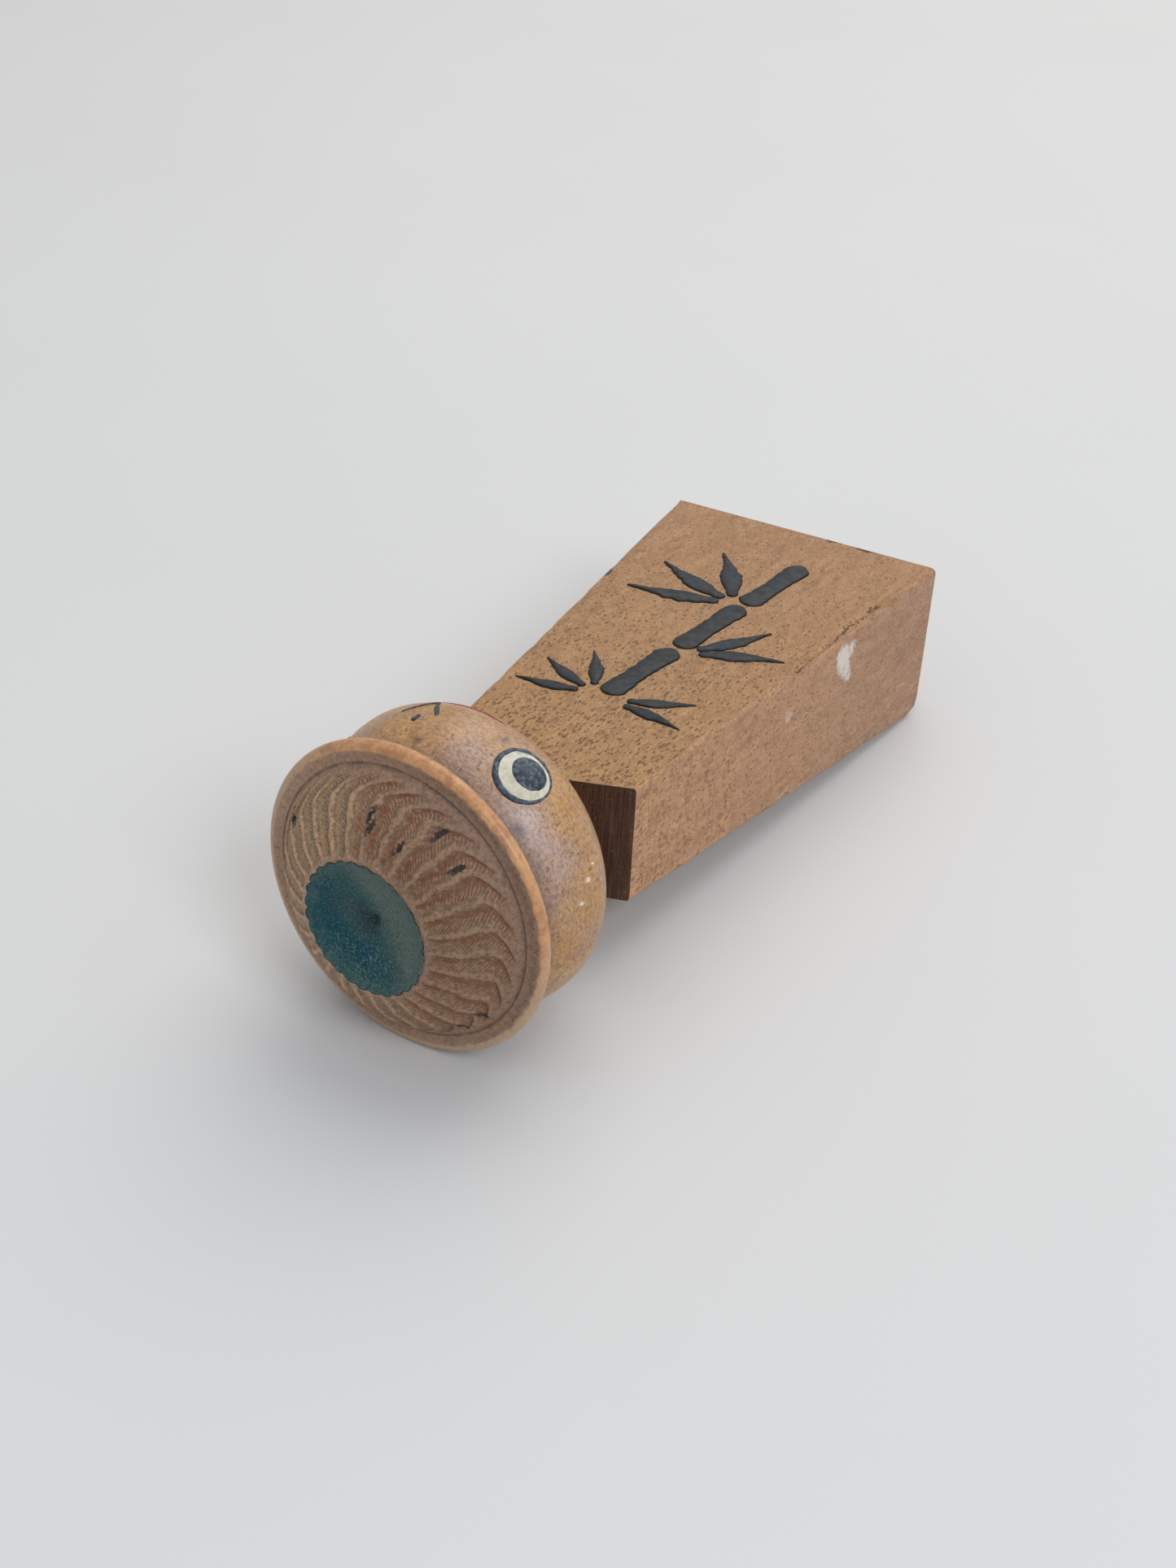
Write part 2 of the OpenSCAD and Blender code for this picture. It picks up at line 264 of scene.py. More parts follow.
# %% Camera
camera = add("camera", bpy.data.cameras.new("camera"))
bpy.context.scene.camera = camera
camera.data.sensor_width = 36
camera.data.lens = 43.18
camera.data.clip_start = 0.01
camera.data.clip_end = 20
look = Vector((-0.424062, 0.704416, -0.569184))
roll = Matrix.Rotation(math.radians(-0.49), 4, look)
camera.rotation_mode = "QUATERNION"
camera.rotation_quaternion = (roll @ look.to_track_quat("-Z", "Y").to_matrix().to_4x4()).to_quaternion()
camera.location = (0.0970737, -0.1705503, 0.1437300)
print("camera looks down by", round(math.degrees(math.asin(-look.z)), 1), "degrees")

# %% Floor
REACH = 3.0
corners = [(-REACH, -REACH, 0), (REACH, -REACH, 0), (REACH, REACH, 0), (-REACH, REACH, 0)]
floor = solid("paper_floor", corners, [(0, 1, 2, 3)])
# Uncoated paper: matt, flat and almost even, with faint clouds about ten centimetres across
paper, tree, here, marks = begin("matt_white_paper", Matrix(), 0.85, 0.25)
tone = coats(tree, "DAD9D7", ("D5D4D2", put(tree, NOISE, here, 0.009, 3.0)))
finish_material(tree, tone)
floor.data.materials.append(paper)

# %% World and lamps
bpy.context.scene.view_settings.view_transform = "Standard"
world = bpy.data.worlds.new("pale_room")
bpy.context.scene.world = world
world.use_nodes = True
sky = world.node_tree.nodes["Background"]
sky.inputs["Color"].default_value = paint("EDF2F9")
sky.inputs["Strength"].default_value = 0.54


def lamp(name, place, size, watts, colour):
    """A square area lamp at place, facing the object, with the side and power given."""
    made = add(name, bpy.data.lights.new(name, "AREA"))
    made.data.size = size
    made.data.energy = watts
    made.data.color = paint(colour)[:3]
    made.location = place
    made.rotation_mode = "QUATERNION"
    made.rotation_quaternion = (-Vector(place)).to_track_quat("-Z", "Y")


lamp("overhead_softbox", (-0.02, 0.54, 0.83), 1.0, 5.6, "FFFCF6")
lamp("window", (0.70, -0.37, 0.69), 0.36, 4.0, "F2F6FF")
print("a pale world and two soft lamps are set")

# %% [markdown]
# ## The sawn block
# The body is one piece of beech-like wood, sawn to five sides, thinner and narrower toward the head.
# Handling has rounded its corners, most of all along one long edge, which is also cracked and
# dented. A box with a Bevel modifier would give every edge one even radius. The block is skinned
# over cross-sections instead: each section is a rectangle whose four corners have their own radius,
# so an edge can be sharp at one end and worn at the other, and close rows leave room for the dents.

# %% Sizes of the block, in millimetres
BASE_HALF_W, SHOULDER_HALF_W = 20.0, 12.6
BASE_HALF_T, SHOULDER_HALF_T = 11.2, 7.65
SHOULDER_SLOPE = math.radians(19.2)
TAPER = math.atan((BASE_HALF_T - SHOULDER_HALF_T) / SHOULDER_Z)
RIDGE_Z = SHOULDER_Z + SHOULDER_HALF_W * math.tan(SHOULDER_SLOPE)
FOOT_ROUND, CRISP = 0.45, 0.15
SIDE_STEPS, FACE_STEPS, CORNER_STEPS = 40, 44, 6


def half_width(z):
    """Half the width of the block at height z: it narrows slowly, and fast above the shoulders."""
    sides = BASE_HALF_W + (SHOULDER_HALF_W - BASE_HALF_W) * z / SHOULDER_Z
    return np.minimum(sides, (RIDGE_Z - z) / math.tan(SHOULDER_SLOPE))


def half_depth(z):
    """Half the thickness of the block at height z."""
    return BASE_HALF_T - z * math.tan(TAPER)


# %% Sections of the block. Each corner has its side, its face, and its radius low and high
worn = [(1, -1, 0.35, 0.35), (1, 1, 0.4, 0.35), (-1, 1, 0.6, 0.4), (-1, -1, 0.75, 0.45)]


def section(z, inset):
    """One cross-section, shrunk by inset: points that go once round, corner by corner, closer
    together near the corners."""
    hx = max(float(half_width(z)) - inset, 0.02)
    hy = float(half_depth(z)) - inset
    ring = []
    for i, (sx, sy, low_r, high_r) in enumerate(worn):
        r = low_r + (high_r - low_r) * z / SHOULDER_Z if z <= SHOULDER_Z else CRISP
        r = min(r, hx * 0.9)
        turn = math.radians(-90 + 90 * i)
        arc = np.linspace(turn, turn + math.pi / 2, CORNER_STEPS + 1)
        ring += [(sx * (hx - r) + r * math.cos(a), sy * (hy - r) + r * math.sin(a)) for a in arc]
        nx, ny, next_r, _ = worn[(i + 1) % 4]
        r = min(next_r if z <= SHOULDER_Z else CRISP, hx * 0.9)
        up_side = i % 2 == 0
        steps = SIDE_STEPS if up_side else FACE_STEPS
        end = np.array((nx * hx, ny * (hy - r)) if up_side else (nx * (hx - r), ny * hy))
        start = np.array(ring[-1])
        share = np.linspace(0, 1, steps + 1)[1:-1]
        share = share - 0.75 * np.sin(2 * math.pi * share) / (2 * math.pi)
        ring += [tuple(start + (end - start) * t) for t in share]
    return np.array([(x, y, z) for x, y in ring])


def skin(rings, closed=False):
    """Points and faces through rings of equal length. The rings close on themselves, or a fan
    covers each end."""
    index = np.arange(len(rings) * len(rings[0])).reshape(len(rings), -1)
    ahead = np.roll(index, -1, 0)
    quads = np.stack([index, np.roll(index, -1, 1), np.roll(ahead, -1, 1), ahead], -1)
    if closed:
        return np.concatenate(rings), quads.reshape(-1, 4).tolist()
    faces = quads[:-1].reshape(-1, 4).tolist()
    low, high = index[0].tolist(), index[-1].tolist()
    for i in range(-1, len(low) - 1):
        faces.append((index.size, low[i + 1], low[i]))
        faces.append((index.size + 1, high[i], high[i + 1]))
    return np.concatenate([*rings, [rings[0].mean(0)], [rings[-1].mean(0)]]), faces


rows = [(FOOT_ROUND * (1 - math.cos(a)), FOOT_ROUND * (1 - math.sin(a))) for a in np.linspace(0, 1.57, 6)]
rows += [(z, 0.0) for z in np.linspace(FOOT_ROUND + 0.1, SHOULDER_Z - 0.12, 190)]
rows += [(SHOULDER_Z - 0.04, 0.015), (SHOULDER_Z + 0.04, 0.015)]
rows += [(z, 0.0) for z in np.linspace(SHOULDER_Z + 0.12, RIDGE_Z - 0.02, 26)]
block_points, block_faces = skin([section(z, inset) for z, inset in rows])
print("block:", len(block_points), "points,", len(block_faces), "faces")

# %% [markdown]
# ### Wear on the block
# One long edge has been knocked about. The points near it are pushed in by noise, more from a
# quarter to half of the way up, where a thin crack also follows the edge. The lower back corner on
# the same side is worn quite round. All of it is done with distances from the edges, so the flat
# faces stay flat.


# %% Dents and the rounded corner
def inside_edges(x, y, z):
    """How far points lie inside the block's side, inside its face, and from the edge of the two."""
    side, face = half_width(z) - np.abs(x), half_depth(z) - np.abs(y)
    return side, face, np.hypot(np.maximum(side, 0), np.maximum(face, 0))


x, y, z = block_points.T
from_side, from_face, edge = inside_edges(x, y, z)
zone = 0.25 + 0.75 * smooth(8, 16, z) * smooth(44, 34, z)
dent = np.maximum(0, bumps(block_points * (1, 1, 0.45), 1.6, 3.0) + 0.12) * 0.75
push = np.where((x < 0) & (y < 0), dent * zone, dent * 0.18)
push *= smooth(1.6, 0.1, edge) * smooth(0.2, 1.5, z) * smooth(SHOULDER_Z + 0.5, SHOULDER_Z - 1.0, z)
gone = smooth(3.2, 0.0, z) * smooth(3.2, 0.0, from_face) * ((x < 0) & (y > 0))
block_points = block_points - np.stack([np.sign(x) * push, np.sign(y) * push + gone * 0.9, -gone * 0.55], -1)
block = solid("koma_block_wood", placed(FIGURE, block_points), block_faces)

# %% Bore for the neck dowel
BORE_R, BORE_DEEP, BORE_OUT = 3.03, 14.8, 2.0
bore_ring = BORE_R * circle(64)[1]
bore_points, bore_faces = skin([bore_ring - (0, 0, BORE_DEEP), bore_ring + (0, 0, BORE_OUT)])
drill = solid("neck_bore", placed(HEAD, bore_points), bore_faces)
cut = block.modifiers.new("bore", "BOOLEAN")
cut.object = drill
cut.solver = "EXACT"
bored = bpy.data.meshes.new_from_object(block.evaluated_get(bpy.context.evaluated_depsgraph_get()))
block.modifiers.remove(cut)
block.data = bored
bpy.data.objects.remove(drill)
print("bored block:", len(bored.polygons), "faces")

# %% Marks that the block's materials read
x, y, z = measured(FIGURE, block)
from_side, from_face, edge = inside_edges(x, y, z)
in_corner = (x < 0) & (y < 0)
unfolded = np.where(from_face < from_side, from_side, -from_face)
crack_at = -0.2 + 1.2 * smooth(33, 20, z)
scuff = [(-7.8, 24.6, 2.0), (-5.4, 24.0, 2.2), (-7.6, 21.6, 1.8), (-3.4, 22.0, 1.8), (-3.4, 36.6, 2.2)]
nick = [(17.1, 25.8, 0.8, 1.3, 1), (-9.5, 0.3, 1.8, 0.9, 1), (-4.6, 0.3, 1.2, 0.9, 1)]
store(
    block,
    height=np.clip(z / RIDGE_Z, 0, 1),
    edge=np.exp(-edge / 0.5) * (z < SHOULDER_Z + 0.2),
    side=smooth(0.5, 0.1, from_side),
    crack_off=np.where(in_corner, unfolded - crack_at, 9.0),
    crack_on=smooth(12.5, 15, z) * smooth(39, 36, z) * in_corner,
    scuff=spots(y, z, *[(v, w, r, 0.9 * r, 1) for v, w, r in scuff]) * (x < 0) * smooth(0.6, 0.2, from_side),
    nick=spots(x, z, *nick) * smooth(1.2, 0.3, half_depth(z) + y),
)
print("marks stored:", [a.name for a in block.data.attributes if a.data_type == "FLOAT"])

# %% [markdown]
# ### The wood of the block
# The wood is beech or a wood like it, sawn, rubbed with a brown wax and handled for decades. To the
# eye that is a matt reddish tan with two patterns: soft streaks along the grain, a few millimetres
# long, and the pores and ray flecks, dark dashes 0.1 to 0.2 mm wide and up to 1 mm long. On the
# narrow sides the flecks are shorter and fainter, and near the head the saw has left fine lines.
# Noise cut at a high level gives flecks that join up into worms. A Voronoi texture gives separate
# ones: its cells are stretched and shaken, each cell may hold one pore about its own centre, and the
# cell's own random colour decides how large the pore is, or that there is none. The crack, the rub
# marks and the nicks read the numbers stored on the mesh.

# %% Waxed beech
# Beech, sawn and waxed: a matt reddish tan, with soft streaks and dark flecks along the grain
beech, tree, here, marks = begin("waxed_beech_block", FIGURE, 0.62, 0.35, block)
along = put(tree, MAPPING, here, None, None, (0.6, 0.6, 0.12))
streak = put(tree, NOISE, along, 1.0, 4.0, 0.6)
pale = put(tree, RANGE, put(tree, NOISE, along, 1.7, 3.0, 0.5), 0.55, 0.75, 0.0, 0.5)
layers = [("AC855F", marks["height"]), ("957053", streak, 0.35, 0.7, 0.75), ("BC9878", pale)]

# %% Pores and ray flecks of the beech
long_spot = put(tree, MAPPING, here, None, (0, 0.12, 0), (2.7, 2.7, 1.15))
short_spot = put(tree, MAPPING, here, None, None, (2.0, 1.9, 1.3))
cells = put(tree, MIX, marks["side"], long_spot, short_spot, data_type="VECTOR")
shaken = put(tree, NOISE, cells, 1.8, 2.0, 0.6).outputs["Color"]
cells = put(tree, "ShaderNodeVectorMath", shaken, (0.5, 0.5, 0.5), cells, operation="MULTIPLY_ADD")
cell = put(tree, "ShaderNodeTexVoronoi", cells, 1.0).outputs
chance = put(tree, "ShaderNodeSeparateXYZ", cell["Color"]).outputs["X"]
fewest = put(tree, RANGE, marks["height"], 0.1, 0.9, 0.4, -0.05)
chance = put(tree, "SUBTRACT", chance, fewest)
chance = put(tree, "MULTIPLY", chance, 0.52)
fleck = put(tree, "SUBTRACT", chance, cell["Distance"])
fleck_strength = put(tree, RANGE, marks["side"], 0.0, 1.0, 0.9, 0.6)
fleck = put(tree, RANGE, fleck, -0.08, 0.07, 0.0, fleck_strength)
pore = put(tree, NOISE, put(tree, MAPPING, here, None, None, (5.0, 5.0, 2.2)), 1.0, 3.0, 0.65)
dirt = put(tree, NOISE, put(tree, MAPPING, here, None, None, (0.9, 0.9, 0.5)), 1.0, 4.0, 0.65)
layers += [
    ("65432D", fleck),
    ("7A563C", pore, 0.5, 0.64, 0.5),
    ("CBA785", pore, 0.46, 0.32, 0.45),
    ("84604A", dirt, 0.5, 0.7, 0.65),
]

# %% Saw lines across the narrow sides, near the head
saw = put(tree, NOISE, put(tree, MAPPING, here, None, None, (0.3, 0.25, 2.6)), 1.0, 2.0, 0.5)
saw = put(tree, RANGE, saw, 0.5, 0.7, 0.0, 0.6)
saw = put(tree, "MULTIPLY", saw, marks["side"])
near_head = put(tree, RANGE, marks["height"], 0.45, 0.9)
saw = put(tree, "MULTIPLY", saw, near_head)
layers += [("7E5A42", saw)]

# %% Rubbed edges, crack, nicks and a smear of white
rough_spot = put(tree, NOISE, here, 1.4, 3.0, 0.6)
wander = put(tree, RANGE, put(tree, NOISE, here, 0.9, 4.0, 0.7), 0.3, 0.7, -0.55, 0.55)
crack = put(tree, "ADD", marks["crack_off"], wander)
crack = put(tree, "ABSOLUTE", crack)
crack = put(tree, RANGE, crack, 0.2, 0.06)
gap = put(tree, RANGE, put(tree, NOISE, here, 0.45, 2.0, 0.5), 0.42, 0.52)
crack = put(tree, "MULTIPLY", crack, marks["crack_on"])
crack = put(tree, "MULTIPLY", crack, gap)
dry = put(tree, NOISE, put(tree, MAPPING, here, None, None, (1.0, 0.6, 1.6)), 1.9, 5.0, 0.8)
layers += [
    ("7D5A42", (marks["edge"], rough_spot), 0.25, 0.6, 0.55),
    ("4E3524", (marks["nick"], rough_spot), 0.2, 0.34, 0.9),
    ("453020", crack),
    ("D2CAC6", (marks["scuff"], dry), 0.41, 0.6, 0.8),
]
wood = coats(tree, "AA8068", *layers)

# %% Relief of the wood, and painted light and shade on each face
sunk = put(tree, "ADD", fleck, saw)
sunk = put(tree, "ADD", sunk, crack)
relief = put(tree, "SUBTRACT", pale, sunk)
# Painted light and shade: each face's colour is multiplied by how brightly it is lit, the front by one tint and
# the sides by one that grows lighter toward the head
side_light_tint_base, side_light_tint_head, front = (1.09, 1.13, 1.11), (1.38, 1.36, 1.33), (1.03, 1.0, 0.8)
sides = put(tree, MIX, marks["height"], side_light_tint_base, side_light_tint_head, data_type="VECTOR")
faces = put(tree, MIX, marks["side"], front, sides, data_type="VECTOR")
wood = put(tree, "ShaderNodeVectorMath", wood, faces, operation="MULTIPLY")
finish_material(tree, wood, relief, deep=0.06, strength=0.7)

# %% [markdown]
# ### The stained shoulders
# The two sloping faces under the head are stained dark brown. The stain was brushed along the cut,
# so it ends crisply at the edges, follows the saw's fine lines, and lets a little pale wood through.

# %% Dark stain on sawn wood
# The same beech under a brushed spirit stain: dark, matt, with paler saw lines across it
stained, tree, here, marks = begin("dark_stained_shoulder", FIGURE, 0.58, 0.3)
cut_line = put(tree, NOISE, put(tree, MAPPING, here, None, None, (2.6, 0.12, 2.6)), 1.2, 3.0, 0.6)
cut_line = put(tree, RANGE, cut_line, 0.38, 0.66)
speck = put(tree, NOISE, here, 3.2, 2.0, 0.6)
dark = coats(tree, "3B251A", ("5C3F2E", cut_line), ("8A6248", speck, 0.6, 0.74, 0.6))
finish_material(tree, dark, cut_line, deep=0.05, strength=0.6)

# %% Finish the block
dress(block, beech, "figure_body", "block_wood", "koma_block")
block.data.materials.append(stained)
centres = np.array([p.center for p in block.data.polygons])
normals = np.array([p.normal for p in block.data.polygons])
centre_z = (centres - np.array(FIGURE.translation)) @ np.array(up) / MM
facing = normals @ np.array(up)
aside = np.abs(normals @ np.array(back))
shoulder = (centre_z > SHOULDER_Z) & (facing > 0.6) & (aside < 0.5)
block.data.polygons.foreach_set("material_index", shoulder.astype(int))
block.data.update()
print("stained faces:", int(shoulder.sum()))

# %% [markdown]
# ## The turned head
# The head was turned on a lathe from a pale close-grained wood: a ball for the face, a deep cove, a
# rounded brim, and a crown that rises to a shallow dish. Then a gouge cut 28 grooves round the crown,
# straight out from the dish and hooked at their outer ends. A Screw modifier could turn the outline,
# and sculpting could carve it. But both steps follow a rule, so one Geometry Nodes tree does both: it
# bends a grid round the axis along the outline, and lowers each point of the crown by a depth worked
# out from its angle and radius. The number of grooves stays an input that can be changed.

# %% Sizes of the head, in millimetres
BALL_R, BALL_LOW, BALL_HIGH = 18.2, 9.3, 13.0
COVE_R = 14.8
BRIM_R, BEAD_R, BRIM_Z = 18.7, 0.9, 19.4
SCORE_R, DISH_R, CROWN_Z = 16.3, 8.1, 26.5
CROWN_BOW, DISH_DEPTH = 0.7, 2.2
DIMPLE_R, DIMPLE_DEPTH = 0.6, 0.3
GROOVES = 28
BAND_Z = BRIM_Z + BEAD_R


def dish_height(r):
    """Height of the dish at radius r, with the small dimple that the lathe's centre left."""
    dimple = DIMPLE_DEPTH * np.exp(-((r / DIMPLE_R) ** 2))
    return CROWN_Z - DISH_DEPTH * (1 - (r / DISH_R) ** 2) - dimple


# %% Outline of the head, from the end of the dowel's bore round to the middle of the dish
outline = [(0, 11.5), (1.5, 11.5), (3.0, 11.5), (3.05, 11.4), (3.05, 6.0), (3.05, 0.35)]
low_angle, cut_angle = -math.acos(3.25 / BALL_R), math.acos(COVE_R / BALL_R)
for angles, tall in (
    (np.linspace(low_angle, 0, 42), BALL_LOW),
    (np.linspace(0, cut_angle, 26)[1:], BALL_HIGH),
):
    outline += [(BALL_R * math.cos(a), BALL_LOW + tall * math.sin(a)) for a in angles]
outline += [(14.72, 17.02), (14.85, 17.14)]
outline += [(r, 17.14 + (r - 14.85) * 0.49) for r in np.linspace(15.2, 17.5, 7)]
bead = np.radians(np.linspace(-78, 90, 18))
outline += [(BRIM_R - BEAD_R + BEAD_R * math.cos(a), BRIM_Z + BEAD_R * math.sin(a)) for a in bead]
outline += [(17.55, 20.28), (17.3, 20.22), (17.05, 20.18), (16.8, 20.18), (16.6, 20.22), (16.45, 20.27)]
outline += [(16.38, 20.14), (16.26, 20.14)]
start, end = np.array((16.16, 20.36)), np.array((DISH_R + 0.12, CROWN_Z - 0.02))
run = end - start
out = np.array((run[1], -run[0])) / np.hypot(*run)
outline += [tuple(start + u * run + 4 * CROWN_BOW * u * (1 - u) * out) for u in np.linspace(0, 1, 84)]
outline += [(DISH_R - 0.02, CROWN_Z - 0.03), (DISH_R - 0.2, CROWN_Z - 0.13)]
outline += [(r, dish_height(r)) for r in np.linspace(DISH_R - 0.4, 0, 24)]
profile = bpy.data.meshes.new("head_outline")
profile.from_pydata([(r, 0, z) for r, z in outline], [], [])
print("outline:", len(outline), "points")

# %% The tree: its inputs
carve = bpy.data.node_groups.new("turn_and_carve", "GeometryNodeTree")
carve.interface.new_socket("Outline", in_out="INPUT", socket_type="NodeSocketGeometry")
carve.interface.new_socket("Geometry", in_out="OUTPUT", socket_type="NodeSocketGeometry")
carve_sizes = {
    "Steps around": 400,
    "Grooves": GROOVES,
    "Groove depth": 0.4,
    "Chatter": 0.24,
    "Hook angle": math.radians(14),
    "Hook start": 14.0,
    "Inner radius": DISH_R,
    "Outer radius": 16.0,
    "Crown height": BAND_Z - 0.2,
}
sockets = {}
for label, value in carve_sizes.items():
    kind = "NodeSocketInt" if isinstance(value, int) else "NodeSocketFloat"
    sockets[label] = carve.interface.new_socket(label, in_out="INPUT", socket_type=kind)
given = put(carve, "NodeGroupInput").outputs
inner, outer = given["Inner radius"], given["Outer radius"]

# %% The tree: a grid bent round the axis along the outline
count = put(carve, "GeometryNodeAttributeDomainSize", given["Outline"])
around = put(carve, "ADD", given["Steps around"], 1.0)
grid = put(carve, "GeometryNodeMeshGrid", 1.0, 1.0, around, count)
place = put(carve, "GeometryNodeInputPosition")
flat = put(carve, "ShaderNodeSeparateXYZ", place).outputs
share = put(carve, "ADD", flat["X"], 0.5)
angle = put(carve, "MULTIPLY", share, 2 * math.pi)
row = put(carve, "ADD", flat["Y"], 0.5)
last_row = put(carve, "SUBTRACT", count, 1.0)
row = put(carve, "MULTIPLY_ADD", row, last_row, 0.5)
turned = put(carve, "GeometryNodeSampleIndex", given["Outline"], place, row, data_type="FLOAT_VECTOR")
turned = put(carve, "ShaderNodeSeparateXYZ", turned).outputs
radius = turned["X"]

# %% The tree: how deep the gouge went at each angle and radius
soft = {"interpolation_type": "SMOOTHSTEP"}
hook = put(carve, RANGE, radius, given["Hook start"], outer, 0.0, given["Hook angle"], **soft)
wander = put(carve, "ShaderNodeCombineXYZ", angle, radius)
wander = put(carve, "ShaderNodeVectorMath", wander, (3.0, 0.5, 1.0), operation="MULTIPLY")
wander = put(carve, NOISE, wander, 1.0, 2.0, 0.55)
wander = put(carve, RANGE, wander, 0.0, 1.0, -0.055, 0.055)
bent = put(carve, "ADD", angle, hook)
bent = put(carve, "ADD", bent, wander)
turns = put(carve, "MULTIPLY", bent, given["Grooves"])
turns = put(carve, "DIVIDE", turns, 2 * math.pi)
within = put(carve, "FRACT", turns)
lean = put(carve, "MULTIPLY", within, 2 * math.pi)
lean = put(carve, "SINE", lean)
off_floor = put(carve, "MULTIPLY_ADD", within, 2.0, -1.0)
off_floor = put(carve, "ABSOLUTE", off_floor)
scoop = put(carve, RANGE, off_floor, 0.93, 0.3, 0.0, 1.0, **soft)
entry = put(carve, "ADD", inner, 0.9)
enter = put(carve, RANGE, radius, inner, entry, 0.0, 1.0, **soft)
rounding = put(carve, "POWER", off_floor, 2.0)
reach = put(carve, "MULTIPLY_ADD", rounding, 0.8, radius)
lift_off = put(carve, "SUBTRACT", outer, 0.9)
leave = put(carve, RANGE, reach, outer, lift_off, 0.0, 1.0, **soft)
on_crown = put(carve, "GREATER_THAN", turned["Z"], given["Crown height"])
carved = put(carve, "MULTIPLY", enter, leave)
carved = put(carve, "MULTIPLY", carved, on_crown)
floor_share = put(carve, "MULTIPLY", carved, scoop)
lean = put(carve, "MULTIPLY", lean, carved)
lowered = put(carve, "MULTIPLY", floor_share, given["Groove depth"])

# %% The tree: points in place, the seam and the poles closed
px, py = (put(carve, "MULTIPLY", radius, put(carve, way, angle)) for way in ("COSINE", "SINE"))
knob = put(carve, "ShaderNodeCombineXYZ", px, py)
knob = put(carve, NOISE, knob, 1.8, 2.0, 0.65)
knob = put(carve, "SUBTRACT", knob, 0.5)
knob = put(carve, "MULTIPLY", knob, given["Chatter"])
knob = put(carve, "MULTIPLY_ADD", knob, carved, lowered)
pz = put(carve, "SUBTRACT", turned["Z"], knob)
spot = put(carve, "ShaderNodeCombineXYZ", px, py, pz)
marked = grid
for name, value in (("floor", floor_share), ("carved", carved), ("lean", lean)):
    marked = put(carve, "GeometryNodeStoreNamedAttribute", marked, None, name, value)
shaped = put(carve, "GeometryNodeSetPosition", marked, None, spot)
closed = put(carve, "GeometryNodeMergeByDistance", shaped, None, 0.0005)
whole = put(carve, "GeometryNodeRealizeInstances", closed)
put(carve, "NodeGroupOutput", put(carve, "GeometryNodeSetMaterial", whole))
print("carving tree:", len(carve.nodes), "nodes")

# %% Run the tree and keep a plain mesh, moved into the frame
maker = add("carving", profile)
work = maker.modifiers.new("carving", "NODES")
work.node_group = carve
for label, value in carve_sizes.items():
    work[sockets[label].identifier] = value
maker.update_tag()
depsgraph = bpy.context.evaluated_depsgraph_get()
carved_head = bpy.data.meshes.new_from_object(maker.evaluated_get(depsgraph))
bpy.data.objects.remove(maker)
carved_head.transform(HEAD)
head = add("turned_head_wood", cleaned(carved_head))
print("head:", len(head.data.vertices), "points,", len(head.data.polygons), "faces")

# %% Marks that the head's material reads. Angles are in degrees round the crown
x, y, z = measured(HEAD, head)
far = np.hypot(x, y)
turn = np.degrees(np.arctan2(y, x)) % 360


def near(angle, width, soft):
    """1 inside an arc of the head about an angle in degrees, falling to 0 outside it."""
    off = np.abs((turn - angle + 180) % 360 - 180)
    return smooth(width + soft, width - soft, off)


ragged = 0.22 * bumps(np.stack([x, y, 0 * z], -1), 1.1, 8.0)
stain_end = 17.65 + 0.55 * near(186, 40, 34) + ragged
pits = [(236, 11.1), (256, 11.5), (258, 12.6), (209, 13.4), (225, 14.1), (317, 14.6)]
pits += [(114, 14.7), (128, 14.9)]
pit = np.zeros(len(x))
for angle, r in pits:
    a = math.radians(angle)
    outward = x * math.cos(a) + y * math.sin(a) - r
    sideways = y * math.cos(a) - x * math.sin(a)
    pit += np.exp(-((outward / 0.95) ** 2) - ((sideways + 0.25 * outward) / 0.4) ** 2)
ticks = [(208, 15.3, 1.1, 0.5), (235.5, 9.6, 0.3, 0.6), (261.4, 14.4, 0.5, 0.3)]
chips = [(179.3, 10.6, 0.35), (172.2, 11.9, 0.3), (183.5, 9.4, 0.22), (176.0, 8.4, 0.2)]
store(
    head,
    score=np.exp(-(((far - SCORE_R) / 0.15) ** 2)) * (z > BAND_Z - 0.5),
    crown=smooth(BAND_Z - 0.3, BAND_Z - 0.05, z) * smooth(stain_end + 0.15, stain_end - 0.15, far),
    bead=smooth(17.0, 17.4, far) * (z > 18.1),
    # Painted light: the arc of the bead on its lit side
    bright=near(228, 70, 22),
    deep=near(183, 85, 60),
    rust=near(183, 82, 9),
    # Stain and painted shade under the brim: the ball darkens toward the cove
    cove=smooth(14.0, 16.8, z),
    # Painted sheen over a pink stain: a pale lilac patch below the eye
    blush=smooth(9.5, 14.0, z) * near(212, 34, 28),
    pit=pit * (z > BAND_Z),
    tick=spots(turn, z, *[(a, h, w / 0.3, t, 1) for a, h, w, t in ticks]) * (z < 17),
    chip=spots(turn, z, *[(a, h, w / 0.31, 1.4 * w, 1) for a, h, w in chips]) * (z < 17),
)
print("head marks stored on", len(x), "points")
